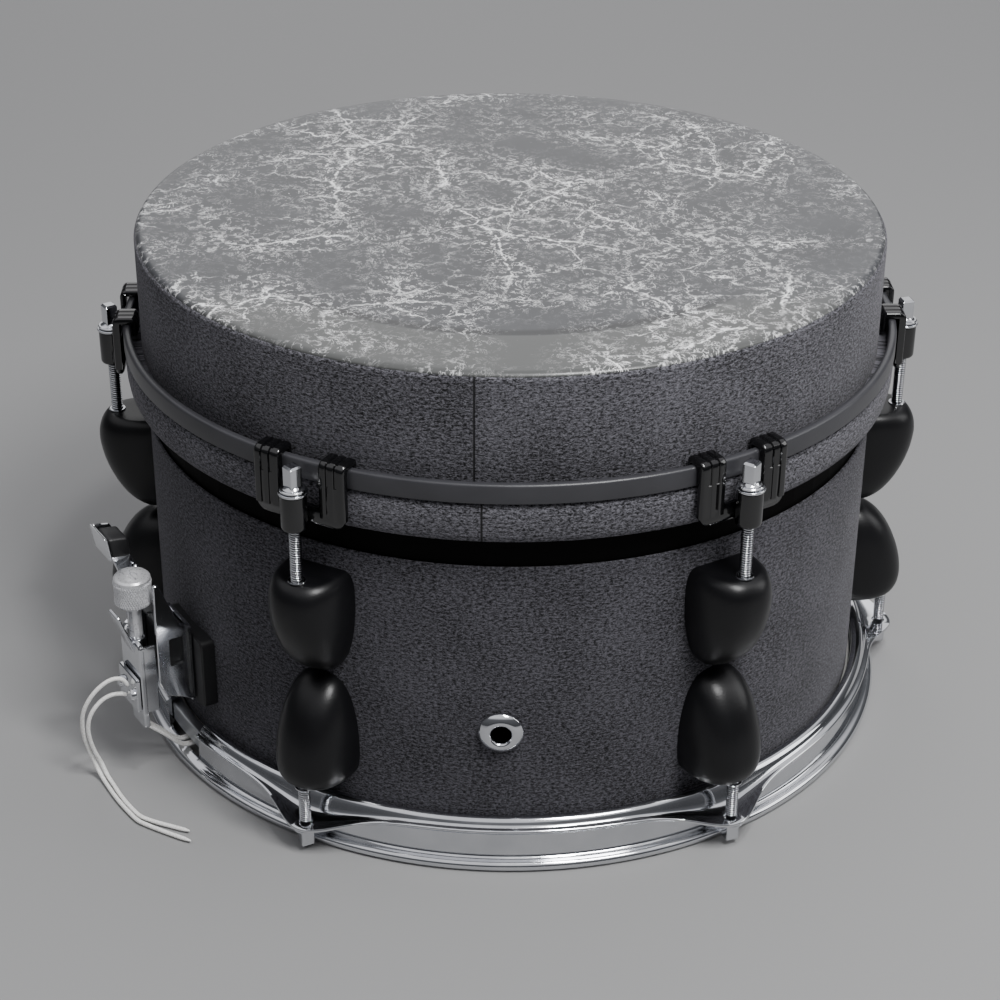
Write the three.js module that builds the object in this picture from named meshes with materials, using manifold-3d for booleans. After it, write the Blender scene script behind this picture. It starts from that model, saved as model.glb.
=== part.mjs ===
// A fourteen-inch hand-and-snare drum: a felt-wrapped shell under a film head on a tall felt collar,
// tuned by six claw-hooked rods at the top and six rods through the eared hoop at the bottom,
// with a lever throw-off that holds the snare cords.
// Millimetres, +Z up. The origin is on the drum's axis, on the plane the bottom hoop stands on.
// Lugs stand at 0, 60, 120 ... degrees from +X, and the throw-off at 210 degrees.

import * as THREE from 'three';
import { mergeVertices } from 'three/addons/utils/BufferGeometryUtils.js';
import Module from 'manifold-3d';

const wasm = await Module();
wasm.setup();

// ---- driving dimensions -------------------------------------------------------------------------
const DRUM_RADIUS = 177.8; // outside of the collar: a fourteen-inch drum
const HEAD_TOP = 244.6; // playing surface above the ground
const GAP = 0.3; // clear space between touching pieces
const LUG_COUNT = 6;
const FACETS = 72; // steps round every large ring

const SHELL_RADIUS = DRUM_RADIUS - 2.8;
const SHELL_WALL = 6.5;
const SHELL_BOTTOM = 13.7;
const FELT_THICKNESS = 1.3;
const FELT_TOP = 152.5;
const FELT_RADIUS = SHELL_RADIUS + GAP + FELT_THICKNESS;
const LUG_SEAT_RADIUS = FELT_RADIUS + GAP;

const FILM_THICKNESS = 0.7;
const SHELL_TOP = HEAD_TOP - 2 * (FILM_THICKNESS + GAP);
const COLLAR_BOTTOM = 188.5;

const RING_BOTTOM = 188.5;
const RING_TOP = 197.6;
const RING_INNER = 182.4;
const RING_OUTER = 186.2;
const BAND_BOTTOM = 168;
const BAND_RADIUS = 185.8;

const ROD_RADIUS = 2.75;
const ROD_HOLE_RADIUS = ROD_RADIUS + 0.35;
const ROD_HEAD_WIDTH = 6;
const ROD_FLANGE_RADIUS = 5.2;
const ROD_FLANGE_HEIGHT = 1.6;
const UPPER_ROD_CENTRE = 194; // distance of the rod's axis from the drum's axis
const LOWER_ROD_CENTRE = 195.6;

const CLAW_TOP = RING_TOP + 3.2;
const CLAW_BOTTOM = 168.3;
const CLAW_INNER = RING_OUTER + GAP;
const CLAW_OUTER = CLAW_INNER + 3.5;
const CLAW_ARM_WIDTH = 12.5;
const CLAW_ARM_OFFSET = 16.2;
const SLEEVE_RADIUS = 6.2;
const SLEEVE_TOP = 185;

const LUG_LENGTH = 52.6;
const LUG_GAP_HEIGHT = 88.2; // height of the gap between the two lugs of a pair
const LUG_GAP = 2.4;
const LUG_HALF_WIDTH = 18;
const LUG_DEPTH = 26.6;
const LUG_BORE_DEPTH = 17;

const HOOP_WALL_OUTER = 186.2;
const HOOP_WALL_INNER = 184.6;
const HOOP_RIM = 190.6;
const EAR_REACH = 202;
const EAR_TOP = 14.5;
const EAR_UNDER = 12.9;
const EAR_SPREAD = 20; // half-width of an ear along the hoop

const THROW_OFF_ANGLE = 210;
const BUTT_ANGLE = THROW_OFF_ANGLE - 180;
const VENT_ANGLE = 267.2;
const VENT_HEIGHT = 68;

// ---- materials ----------------------------------------------------------------------------------
const finish = (color, roughness, metalness) => ({ color, roughness, metalness });
const FILM = finish(0x5b5b5e, 0.45, 0);
const FELT = finish(0x2b2b2f, 0.95, 0);
const BLACK_PAINT = finish(0x232427, 0.45, 0.1);
const GLOSS_BLACK = finish(0x101012, 0.25, 0.3);
const CHROME = finish(0xcfd2d6, 0.12, 1);
const STEEL = finish(0xa9adb2, 0.3, 1);
const PLY = finish(0x1c1b1b, 0.7, 0);
const CORD = finish(0xe9e7e0, 0.7, 0);
const CLEAR_FILM = finish(0xd9d9d4, 0.35, 0);

// ---- solids -------------------------------------------------------------------------------------

// A closed geometry as a Manifold, with its shared corners merged and its empty triangles dropped.
function solid(geometry) {
  const bare = geometry.clone();
  bare.deleteAttribute('normal');
  bare.deleteAttribute('uv');
  const merged = mergeVertices(bare, 1e-4);
  const corners = merged.index.array;
  const kept = [];
  for (let i = 0; i < corners.length; i += 3) {
    const [a, b, c] = corners.slice(i, i + 3);
    if (a !== b && b !== c && c !== a) kept.push(a, b, c);
  }
  const vertProperties = new Float32Array(merged.attributes.position.array);
  return new wasm.Manifold(
    new wasm.Mesh({ numProp: 3, vertProperties, triVerts: new Uint32Array(kept) }),
  );
}

function geometryOf(manifold) {
  const mesh = manifold.getMesh();
  const geometry = new THREE.BufferGeometry();
  geometry.setAttribute('position', new THREE.BufferAttribute(mesh.vertProperties, 3));
  geometry.setIndex(new THREE.BufferAttribute(mesh.triVerts, 1));
  geometry.computeVertexNormals();
  return geometry;
}

// A profile of [radius, height] points, anticlockwise, turned about Z.
function turnedGeometry(profile, facets) {
  const closed = profile[0][0] === 0 ? profile : [...profile, profile[0]];
  const points = closed.map(([radius, height]) => new THREE.Vector2(radius, height));
  return new THREE.LatheGeometry(points, facets).rotateX(Math.PI / 2);
}

const turned = (profile, facets = FACETS) => solid(turnedGeometry(profile, facets));

// A block between two corners, in the radial frame: x outwards, y along the shell, z up.
function block([x0, y0, z0], [x1, y1, z1]) {
  const box = new THREE.BoxGeometry(x1 - x0, y1 - y0, z1 - z0);
  return solid(box.translate((x0 + x1) / 2, (y0 + y1) / 2, (z0 + z1) / 2));
}

// An upright round bar.
function bar(radius, z0, z1, x = 0, y = 0, facets = 12) {
  const cylinder = new THREE.CylinderGeometry(radius, radius, z1 - z0, facets).rotateX(Math.PI / 2);
  return solid(cylinder.translate(x, y, (z0 + z1) / 2));
}

// A flat plate whose outline is in the upright radial plane, between y0 and y1.
function plate(outline, y0, y1) {
  const shape = new THREE.Shape(outline.map(([x, z]) => new THREE.Vector2(x, z)));
  const geometry = new THREE.ExtrudeGeometry(shape, { depth: y1 - y0, bevelEnabled: false });
  return solid(geometry.rotateX(Math.PI / 2).translate(0, y1, 0));
}

const union = (parts) => parts.reduce((whole, part) => whole.add(part));

const drum = new THREE.Group();

// Adds a named piece, turned to its angle round the drum.
function addPiece(name, manifold, look, degrees = 0) {
  const mesh = new THREE.Mesh(geometryOf(manifold), new THREE.MeshStandardMaterial(look));
  mesh.name = name;
  mesh.rotation.z = THREE.MathUtils.degToRad(degrees);
  drum.add(mesh);
}

// ---- shell, felt and heads ----------------------------------------------------------------------
function ventHole(radius) {
  const hole = new THREE.CylinderGeometry(radius, radius, 40, 20).rotateZ(Math.PI / 2);
  hole.translate(SHELL_RADIUS, 0, VENT_HEIGHT);
  return solid(hole.rotateZ(THREE.MathUtils.degToRad(VENT_ANGLE)));
}

const VENT_TUBE_RADIUS = 6;

function shell() {
  const inner = SHELL_RADIUS - SHELL_WALL;
  const edge = 3.2; // depth of the bevel that leads to each bearing edge
  const bore = turned([
    [inner, SHELL_BOTTOM + edge],
    [inner + edge, SHELL_BOTTOM],
    [SHELL_RADIUS - edge / 2, SHELL_BOTTOM],
    [SHELL_RADIUS, SHELL_BOTTOM + edge / 2],
    [SHELL_RADIUS, SHELL_TOP - edge / 2],
    [SHELL_RADIUS - edge / 2, SHELL_TOP],
    [inner + edge, SHELL_TOP],
    [inner, SHELL_TOP - edge],
  ]);
  return bore.subtract(ventHole(VENT_TUBE_RADIUS + 0.5));
}

function shellFelt() {
  const bottom = SHELL_BOTTOM + 1.6;
  const sleeve = turned([
    [SHELL_RADIUS + GAP, bottom],
    [FELT_RADIUS, bottom],
    [FELT_RADIUS, FELT_TOP],
    [SHELL_RADIUS + GAP, FELT_TOP],
  ]);
  return sleeve.subtract(ventHole(VENT_TUBE_RADIUS + 0.5));
}

function headFilm() {
  const edge = DRUM_RADIUS - 1.4;
  const under = HEAD_TOP - FILM_THICKNESS;
  return turned([
    [0, under],
    [edge, under],
    [edge - 0.8, HEAD_TOP],
    [0, HEAD_TOP],
  ]);
}

// The ring of film under the edge of the head that damps its ring.
function dampingRing() {
  const top = HEAD_TOP - FILM_THICKNESS - GAP;
  return turned([
    [134, SHELL_TOP + GAP],
    [SHELL_RADIUS - 1, SHELL_TOP + GAP],
    [SHELL_RADIUS - 1, top],
    [134, top],
  ]);
}

function headCollar() {
  const inner = SHELL_RADIUS + 0.9;
  const top = HEAD_TOP - FILM_THICKNESS - GAP;
  return turned([
    [inner, COLLAR_BOTTOM],
    [DRUM_RADIUS, COLLAR_BOTTOM],
    [DRUM_RADIUS, top - 2],
    [DRUM_RADIUS - 0.7, top - 0.4],
    [inner, top],
  ]);
}

function fleshHoop() {
  const inner = SHELL_RADIUS + 0.9;
  const top = RING_BOTTOM - GAP;
  return turned([
    [inner, BAND_BOTTOM + 1],
    [BAND_RADIUS - 3.8, BAND_BOTTOM],
    [BAND_RADIUS - 1, BAND_BOTTOM + 3.5],
    [BAND_RADIUS, BAND_BOTTOM + 9],
    [BAND_RADIUS, top - 4],
    [BAND_RADIUS - 1.5, top],
    [inner, top],
  ]);
}

function counterHoop() {
  return turned([
    [RING_INNER, RING_BOTTOM],
    [RING_OUTER, RING_BOTTOM],
    [RING_OUTER, RING_TOP - 1.6],
    [RING_OUTER - 1.1, RING_TOP - 0.3],
    [(RING_INNER + RING_OUTER) / 2, RING_TOP],
    [RING_INNER + 0.6, RING_TOP - 0.5],
    [RING_INNER, RING_TOP - 1.6],
  ]);
}

addPiece('shell', shell(), PLY);
addPiece('shell_felt', shellFelt(), FELT);
addPiece('head_film', headFilm(), FILM);
addPiece('damping_ring', dampingRing(), FILM);
addPiece('head_collar', headCollar(), FELT);
addPiece('flesh_hoop', fleshHoop(), FELT);
addPiece('counter_hoop', counterHoop(), BLACK_PAINT);

// ---- claws, rods and lugs -----------------------------------------------------------------------

// The double hook: two arms over the ring, a bar that joins them and the sleeve for the rod.
function claw() {
  const lipInner = DRUM_RADIUS + 0.4;
  const lipOuter = lipInner + 2.4;
  const barTop = 178;
  const barBottom = 169.6;
  const hook = [
    [CLAW_INNER, barBottom + 1],
    [CLAW_OUTER, barBottom + 1],
    [CLAW_OUTER, CLAW_TOP - 2],
    [CLAW_OUTER - 2, CLAW_TOP],
    [lipInner + 1, CLAW_TOP],
    [lipInner, CLAW_TOP - 1.4],
    [lipInner, RING_BOTTOM + 3],
    [lipOuter, RING_BOTTOM + 3],
    [lipOuter, RING_TOP + GAP],
    [CLAW_INNER, RING_TOP + GAP],
  ];
  const half = CLAW_ARM_WIDTH / 2;
  const arms = [-1, 1].map((side) => {
    const middle = side * CLAW_ARM_OFFSET;
    return plate(hook, middle - half, middle + half);
  });
  const reach = CLAW_ARM_OFFSET + half;
  const crossBar = block([CLAW_INNER, -reach, barBottom], [CLAW_OUTER, reach, barTop]);
  const sleeve = bar(SLEEVE_RADIUS, CLAW_BOTTOM, SLEEVE_TOP, UPPER_ROD_CENTRE, 0, 16);
  const bore = bar(ROD_HOLE_RADIUS, 160, 190, UPPER_ROD_CENTRE, 0, 12);
  return union([...arms, crossBar, sleeve]).subtract(bore);
}

const WASHER_HEIGHT = 1.1;

function rodWasher() {
  const bottom = SLEEVE_TOP + GAP;
  const ring = bar(SLEEVE_RADIUS + 0.1, bottom, bottom + WASHER_HEIGHT, UPPER_ROD_CENTRE, 0, 16);
  return ring.subtract(bar(ROD_HOLE_RADIUS, 180, 190, UPPER_ROD_CENTRE, 0, 12));
}

// A tension rod: threaded shaft, round flange and square head, between the shaft's end and the
// flange's seat. The head points up when the seat is above the end, and down otherwise.
function tensionRod(centre, end, seat, headHeight) {
  const up = Math.sign(seat - end);
  const between = (a, b) => [Math.min(a, b), Math.max(a, b)];
  const flangeTop = seat + up * ROD_FLANGE_HEIGHT;
  const headTop = flangeTop + up * headHeight;
  const half = ROD_HEAD_WIDTH / 2;
  const [shaftLow, shaftHigh] = between(end, seat + up * 0.5);
  const [flangeLow, flangeHigh] = between(seat, flangeTop);
  const [headLow, headHigh] = between(flangeTop - up * 0.5, headTop);
  return union([
    bar(ROD_RADIUS, shaftLow, shaftHigh, centre),
    bar(ROD_FLANGE_RADIUS, flangeLow, flangeHigh, centre, 0, 16),
    block([centre - half, -half, headLow], [centre + half, half, headHigh]),
  ]);
}

// Half of a drop shape: its round end at the origin, its flat end LUG_LENGTH above, its flat back
// hollowed to sit on the felt.
function lug(rodCentre) {
  const outline = [
    [0, 0],
    [6.2, 2.5],
    [12.6, 7.5],
    [17.6, 13],
    [21.2, 19],
    [24.2, 26.5],
    [26, 34],
    [LUG_DEPTH, 41],
    [25.6, 46.5],
    [23.4, 50.3],
    [20.6, 52.2],
    [17.5, LUG_LENGTH],
    [0, LUG_LENGTH],
  ];
  const drop = turnedGeometry(outline, 16);
  drop.scale(1, LUG_HALF_WIDTH / LUG_DEPTH, 1);
  drop.translate(LUG_SEAT_RADIUS, 0, 0);
  const seat = new THREE.CylinderGeometry(LUG_SEAT_RADIUS, LUG_SEAT_RADIUS, 3 * LUG_LENGTH, 144);
  const bore = bar(ROD_HOLE_RADIUS, LUG_LENGTH - LUG_BORE_DEPTH, 2 * LUG_LENGTH, rodCentre);
  return solid(drop).subtract(solid(seat.rotateX(Math.PI / 2))).subtract(bore);
}

const UPPER_LUG_TIP = LUG_GAP_HEIGHT + LUG_GAP / 2;
const LOWER_LUG_TIP = LUG_GAP_HEIGHT - LUG_GAP / 2;
const UPPER_ROD_END = UPPER_LUG_TIP + LUG_LENGTH - LUG_BORE_DEPTH + 1.5;
const LOWER_ROD_END = LOWER_LUG_TIP - LUG_LENGTH + LUG_BORE_DEPTH - 1.5;
const UPPER_ROD_SEAT = SLEEVE_TOP + WASHER_HEIGHT + 2 * GAP;
const LOWER_ROD_SEAT = EAR_UNDER - GAP;

for (let i = 0; i < LUG_COUNT; i += 1) {
  const degrees = (i * 360) / LUG_COUNT;
  const number = i + 1;
  const upperLug = lug(UPPER_ROD_CENTRE).translate([0, 0, UPPER_LUG_TIP]);
  const lowerLug = lug(LOWER_ROD_CENTRE).rotate([180, 0, 0]).translate([0, 0, LOWER_LUG_TIP]);
  addPiece(`claw_${number}`, claw(), GLOSS_BLACK, degrees);
  addPiece(`rod_washer_${number}`, rodWasher(), CHROME, degrees);
  const upperRod = tensionRod(UPPER_ROD_CENTRE, UPPER_ROD_END, UPPER_ROD_SEAT, 10.2);
  addPiece(`upper_rod_${number}`, upperRod, CHROME, degrees);
  addPiece(`upper_lug_${number}`, upperLug, BLACK_PAINT, degrees);
  addPiece(`lower_lug_${number}`, lowerLug, BLACK_PAINT, degrees);
  const lowerRod = tensionRod(LOWER_ROD_CENTRE, LOWER_ROD_END, LOWER_ROD_SEAT, 8.8);
  addPiece(`lower_rod_${number}`, lowerRod, CHROME, degrees);
}

// ---- bottom hoop, bottom head and vent ----------------------------------------------------------
const GATE_HALF_WIDTH = 17;

// The bottom hoop is turned from two profiles with the same points: one between the lugs and one at
// an ear. Each step round the ring lies between them, and the steps crowd towards the ears.
function bottomHoop() {
  const plainToEar = [
    [HOOP_WALL_OUTER, 5.5, 0, 0],
    [HOOP_WALL_OUTER, 18.2, 0, EAR_UNDER - 18.2],
    [HOOP_WALL_OUTER + 1.4, 19.2, EAR_REACH - HOOP_WALL_OUTER - 1.4, EAR_UNDER - 19.2],
    [HOOP_WALL_OUTER + 1.4, 20.6, EAR_REACH - HOOP_WALL_OUTER - 1.4, EAR_TOP - 20.6],
    [HOOP_WALL_OUTER + 0.4, 21.2, 4.4, EAR_TOP - 21.2],
    [HOOP_WALL_OUTER - 0.6, 21.8, 1.4, -3.3],
    [184, 23.8, 0.6, -0.8],
    [181.2, 24.6, 0, 0],
    [178.6, 23.4, 0, 0],
    [178.9, 20.6, 0, 0],
    [HOOP_WALL_INNER, 19.8, 0, 0],
    [HOOP_WALL_INNER, 9, 0, 0],
    [179.2, 9, 0, 0],
    [179.2, 7.4, 0, 0],
    [HOOP_WALL_INNER, 7.4, 0, 0],
    [HOOP_WALL_INNER, 1.4, 0, 0],
    [HOOP_WALL_OUTER, 0, 0, 0],
    [HOOP_RIM - 1.6, 0, 0, 0],
    [HOOP_RIM, 1.6, 0, 0],
    [HOOP_RIM, 3.4, 0, 0],
    [188.8, 4.6, 0, 0],
  ];
  const rows = plainToEar.length + 1;
  const geometry = turnedGeometry(plainToEar, 96);
  const position = geometry.attributes.position;
  for (let i = 0; i < position.count; i += 1) {
    const [radius, height, outwards, upwards] = plainToEar[(i % rows) % plainToEar.length];
    const even = Math.atan2(position.getY(i), position.getX(i));
    const angle = even - (0.5 / LUG_COUNT) * Math.sin(LUG_COUNT * even);
    const pitch = (2 * Math.PI) / LUG_COUNT;
    const fromEar = Math.abs(angle - pitch * Math.round(angle / pitch)) * UPPER_ROD_CENTRE;
    const ear = Math.exp(-((fromEar / EAR_SPREAD) ** 1.9));
    const r = radius + outwards * ear;
    position.setXYZ(i, r * Math.cos(angle), r * Math.sin(angle), height + upwards * Math.sqrt(ear));
  }
  let hoop = solid(geometry);
  for (let i = 0; i < LUG_COUNT; i += 1) {
    const hole = bar(ROD_HOLE_RADIUS + 0.3, 8, 24, LOWER_ROD_CENTRE);
    hoop = hoop.subtract(hole.rotate([0, 0, (i * 360) / LUG_COUNT]));
  }
  for (const degrees of [THROW_OFF_ANGLE, BUTT_ANGLE]) {
    const gate = block([170, -GATE_HALF_WIDTH, 4.8], [210, GATE_HALF_WIDTH, 30]);
    hoop = hoop.subtract(gate.rotate([0, 0, degrees]));
  }
  return hoop;
}

function bottomHead() {
  const under = SHELL_BOTTOM - GAP - FILM_THICKNESS;
  return turned([
    [0, under],
    [178.2, under],
    [178.2, SHELL_BOTTOM - GAP],
    [0, SHELL_BOTTOM - GAP],
  ]);
}

function bottomFleshHoop() {
  return turned([
    [178.5, 9.4],
    [HOOP_WALL_INNER - 0.4, 9.4],
    [HOOP_WALL_INNER - 0.4, 19],
    [178.5, 19],
  ]);
}

// The vent eyelet: a domed flange outside the felt and a tube through the wall.
function ventEyelet() {
  const lip = LUG_SEAT_RADIUS + 0.4;
  const tubeEnd = SHELL_RADIUS - SHELL_WALL - 2;
  const eyelet = turnedGeometry(
    [
      [4.6, tubeEnd],
      [VENT_TUBE_RADIUS, tubeEnd],
      [VENT_TUBE_RADIUS, lip],
      [10.2, lip],
      [10.2, lip + 1.2],
      [8.6, lip + 3],
      [6, lip + 3.6],
      [4.6, lip + 2.6],
    ],
    20,
  );
  return solid(eyelet.rotateY(Math.PI / 2).translate(0, 0, VENT_HEIGHT));
}

addPiece('bottom_hoop', bottomHoop(), CHROME);
addPiece('bottom_head', bottomHead(), CLEAR_FILM);
addPiece('bottom_flesh_hoop', bottomFleshHoop(), STEEL);
addPiece('vent_eyelet', ventEyelet(), CHROME, VENT_ANGLE);

// ---- throw-off ----------------------------------------------------------------------------------
const MOUNT_FACE = LUG_SEAT_RADIUS + 5.6; // outer face of the black mount block
const HOUSING_BACK = MOUNT_FACE + GAP;
const HOUSING_FRONT = 200.6;
const HOUSING_HALF = 12;
const SHEET = 2; // thickness of the pressed sheet
const SLIDE_BACK = HOUSING_FRONT + 0.4;
const SLIDE_FRONT = 209.4;
const SLIDE_BOTTOM = 28;
const SLIDE_TOP = 74;
const KNOB_CENTRE = 205.6;
const LEVER_PIVOT = [197, 62];
const LEVER_INNER = -HOUSING_HALF - 0.8;
const LEVER_OUTER = LEVER_INNER - SHEET;

function throwOffMount() {
  const slab = block([170, -21, 36], [MOUNT_FACE, 21, 73]);
  const seat = new THREE.CylinderGeometry(LUG_SEAT_RADIUS, LUG_SEAT_RADIUS, 200, 144);
  return slab.subtract(solid(seat.rotateX(Math.PI / 2)));
}

// A pressed channel: a back plate and two cheeks.
function throwOffHousing() {
  const back = HOUSING_BACK + SHEET;
  const cheek = [
    [HOUSING_BACK, 37],
    [190, 41],
    [197.5, 44],
    [HOUSING_FRONT, 52],
    [HOUSING_FRONT, 82],
    [HOUSING_FRONT - 0.4, 105],
    [HOUSING_FRONT - 2.8, 105],
    [188.6, 81],
    [HOUSING_BACK, 79],
  ];
  const inside = HOUSING_HALF - SHEET;
  return union([
    block([HOUSING_BACK, -HOUSING_HALF, 37], [back, HOUSING_HALF, 79]),
    plate(cheek, -HOUSING_HALF, -inside),
    plate(cheek, inside, HOUSING_HALF),
  ]);
}

// The lever's blade stands beside the housing and turns in behind the grip.
function throwOffLever() {
  const [x, z] = LEVER_PIVOT;
  const blade = [
    [x - 6, z - 6],
    [x + 6, z - 6],
    [x + 6.5, z + 30],
    [x + 13, z + 50],
    [x + 19.6, z + 57],
    [x + 21.4, z + 69],
    [x + 12, z + 67],
    [x + 5, z + 52],
    [x - 2, z + 36],
    [x - 6, z + 10],
  ];
  const shelf = [
    [x + 18.2, z + 57.5],
    [x + 19.6, z + 57],
    [x + 21.4, z + 69],
    [x + 19.9, z + 68.7],
  ];
  return plate(blade, LEVER_OUTER, LEVER_INNER).add(plate(shelf, LEVER_OUTER + 0.5, 3));
}

function leverGrip() {
  const [x, z] = LEVER_PIVOT;
  const outline = [
    [x + 8.6, z + 56.4],
    [x + 17.8, z + 57.4],
    [x + 19.6, z + 67.9],
    [x + 9.4, z + 66.4],
  ];
  return plate(outline, LEVER_INNER + 1.2, 2);
}

// The slide block that carries the knob's screw and the cord clamp.
function slideBlock() {
  const half = HOUSING_HALF - 1;
  const lip = [
    [SLIDE_FRONT - 2, SLIDE_TOP - 6],
    [SLIDE_FRONT + 0.2, SLIDE_TOP - 6],
    [SLIDE_FRONT + 5, SLIDE_TOP + 8],
    [SLIDE_FRONT + 7.4, SLIDE_TOP + 15],
    [SLIDE_FRONT + 5.8, SLIDE_TOP + 15.4],
    [SLIDE_FRONT + 3, SLIDE_TOP + 7],
    [SLIDE_FRONT - 0.4, SLIDE_TOP - 1],
  ];
  const screwHole = bar(2.8, SLIDE_TOP - 14, SLIDE_TOP + 4, KNOB_CENTRE);
  const body = block([SLIDE_BACK, -half, SLIDE_BOTTOM + 8], [SLIDE_FRONT, half, SLIDE_TOP]);
  const foot = block([SLIDE_BACK, -4, SLIDE_BOTTOM], [SLIDE_FRONT, half, SLIDE_BOTTOM + 9]);
  return union([body, foot, plate(lip, -5, 5)]).subtract(screwHole);
}

function tensionKnob() {
  const knob = turned(
    [
      [0, SLIDE_TOP - 12],
      [2.4, SLIDE_TOP - 12],
      [2.4, SLIDE_TOP + 1],
      [3.2, SLIDE_TOP + 1],
      [3.2, 91.5],
      [8.8, 92.5],
      [8.8, 106.4],
      [8, 107.2],
      [0, 107.2],
    ],
    20,
  );
  return knob.translate([KNOB_CENTRE, 0, 0]);
}

const CLAMP_FRONT = SLIDE_FRONT + GAP + 2.2;

function cordClamp() {
  return block([SLIDE_FRONT + GAP, -10.5, 38], [CLAMP_FRONT, 10.5, 56]);
}

addPiece('throw_off_mount', throwOffMount(), BLACK_PAINT, THROW_OFF_ANGLE);
addPiece('throw_off_housing', throwOffHousing(), CHROME, THROW_OFF_ANGLE);
addPiece('throw_off_lever', throwOffLever(), CHROME, THROW_OFF_ANGLE);
addPiece('lever_grip', leverGrip(), BLACK_PAINT, THROW_OFF_ANGLE);
addPiece('slide_block', slideBlock(), CHROME, THROW_OFF_ANGLE);
addPiece('tension_knob', tensionKnob(), CHROME, THROW_OFF_ANGLE);
addPiece('cord_clamp', cordClamp(), CHROME, THROW_OFF_ANGLE);

// ---- snare wires, butt and cords ----------------------------------------------------------------
const WIRE_UNDER = 9.6;
const WIRE_REACH = 161;
const BUTT_FACE = LUG_SEAT_RADIUS + 5.2;

function snareWires() {
  const strands = block([-150, -18, WIRE_UNDER + 0.3], [150, 18, WIRE_UNDER + 1.6]);
  const endPlates = [-1, 1].map((side) => {
    const [near, far] = side < 0 ? [-WIRE_REACH, -147] : [147, WIRE_REACH];
    return block([near, -20, WIRE_UNDER], [far, 20, WIRE_UNDER + 1.9]);
  });
  return union([strands, ...endPlates]);
}

// The fixed anchor: one casting with a raised bar that the cords tie through.
function buttPlate() {
  const slab = block([170, -15, 34], [BUTT_FACE, 15, 64]);
  const anchorBar = block([BUTT_FACE - 1, -11, 38], [BUTT_FACE + 2.5, 11, 56]);
  const seat = new THREE.CylinderGeometry(LUG_SEAT_RADIUS, LUG_SEAT_RADIUS, 200, 144);
  return slab.add(anchorBar).subtract(solid(seat.rotateX(Math.PI / 2)));
}

// A round cord through a few places, each [outwards, along the shell, up].
function cord(places, radius, steps) {
  const route = new THREE.CatmullRomCurve3(places.map((place) => new THREE.Vector3(...place)));
  const section = new THREE.Shape();
  section.absarc(0, 0, radius, 0, 2 * Math.PI, false);
  return solid(new THREE.ExtrudeGeometry(section, { steps, curveSegments: 4, extrudePath: route }));
}

const CORD_RADIUS = 1;

// The taut pair of cords, drawn as the flat strap that they make, from a clamp to an end plate.
function tautCords(clampX, clampZ) {
  const under = 6.4; // it passes below the bottom flesh hoop
  const strap = 1.6;
  const route = [
    [clampX + strap, clampZ],
    [HOOP_WALL_OUTER + 0.4, under],
    [177.5, under],
    [WIRE_REACH + 0.6, WIRE_UNDER + 0.2],
    [WIRE_REACH + 0.6, WIRE_UNDER + 1.7],
    [178, under + strap],
    [HOOP_WALL_OUTER - 0.8, under + strap],
    [clampX, clampZ],
  ];
  return plate(route, -5, 5);
}

// The two free ends of the snare cord: out of the clamp, over and down, then along the ground.
const TAILS = {
  snare_cord_a: [
    [CLAMP_FRONT + 1, 2.4, 49.4],
    [214.8, 2.2, 53.2],
    [217.8, 1.8, 55],
    [221.6, 1.2, 54.8],
    [226.6, 0.6, 52.2],
    [231.4, -0.4, 47],
    [234.6, -2, 39.6],
    [235.2, -3.6, 31],
    [234, -4.8, 21.6],
    [231.8, -5, 12.6],
    [230, -3.4, 5.2],
    [229.4, 1.6, 1.8],
    [229.6, 8, 1.3],
    [229.9, 21, 1.2],
    [229.3, 32.6, 1.2],
    [228.2, 41, 1.2],
    [225.2, 47.6, 1.2],
    [221.2, 55, 1.2],
    [213.8, 67.6, 1.2],
  ],
  snare_cord_b: [
    [CLAMP_FRONT + 0.8, 0, 43.2],
    [216, -0.4, 44.6],
    [220.5, -1, 45],
    [225.6, -1.6, 43],
    [230.8, -1.5, 38],
    [232.9, -2.1, 31],
    [232.4, -2.7, 23],
    [230.5, -3, 15],
    [227.8, -2.8, 7.5],
    [226.8, 1.4, 2.2],
    [226.9, 8, 1.3],
    [227.4, 20, 1.2],
    [226.9, 31.5, 1.2],
    [225.8, 38.6, 1.2],
    [222.6, 44.6, 1.2],
    [218.4, 50.6, 1.2],
    [211.1, 60.4, 1.2],
  ],
};

addPiece('snare_wires', snareWires(), STEEL, BUTT_ANGLE);
addPiece('butt_plate', buttPlate(), CHROME, BUTT_ANGLE);
addPiece('butt_cord', tautCords(HOOP_WALL_INNER + GAP, 37.6), CORD, BUTT_ANGLE);
addPiece('snare_cord', tautCords(SLIDE_FRONT - 3, SLIDE_BOTTOM - 0.4), CORD, THROW_OFF_ANGLE);
for (const [name, places] of Object.entries(TAILS)) {
  addPiece(name, cord(places, CORD_RADIUS, 30), CORD, THROW_OFF_ANGLE);
}

export default drum;
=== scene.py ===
import math

import bmesh
import bpy
from mathutils import Matrix, Vector


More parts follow.
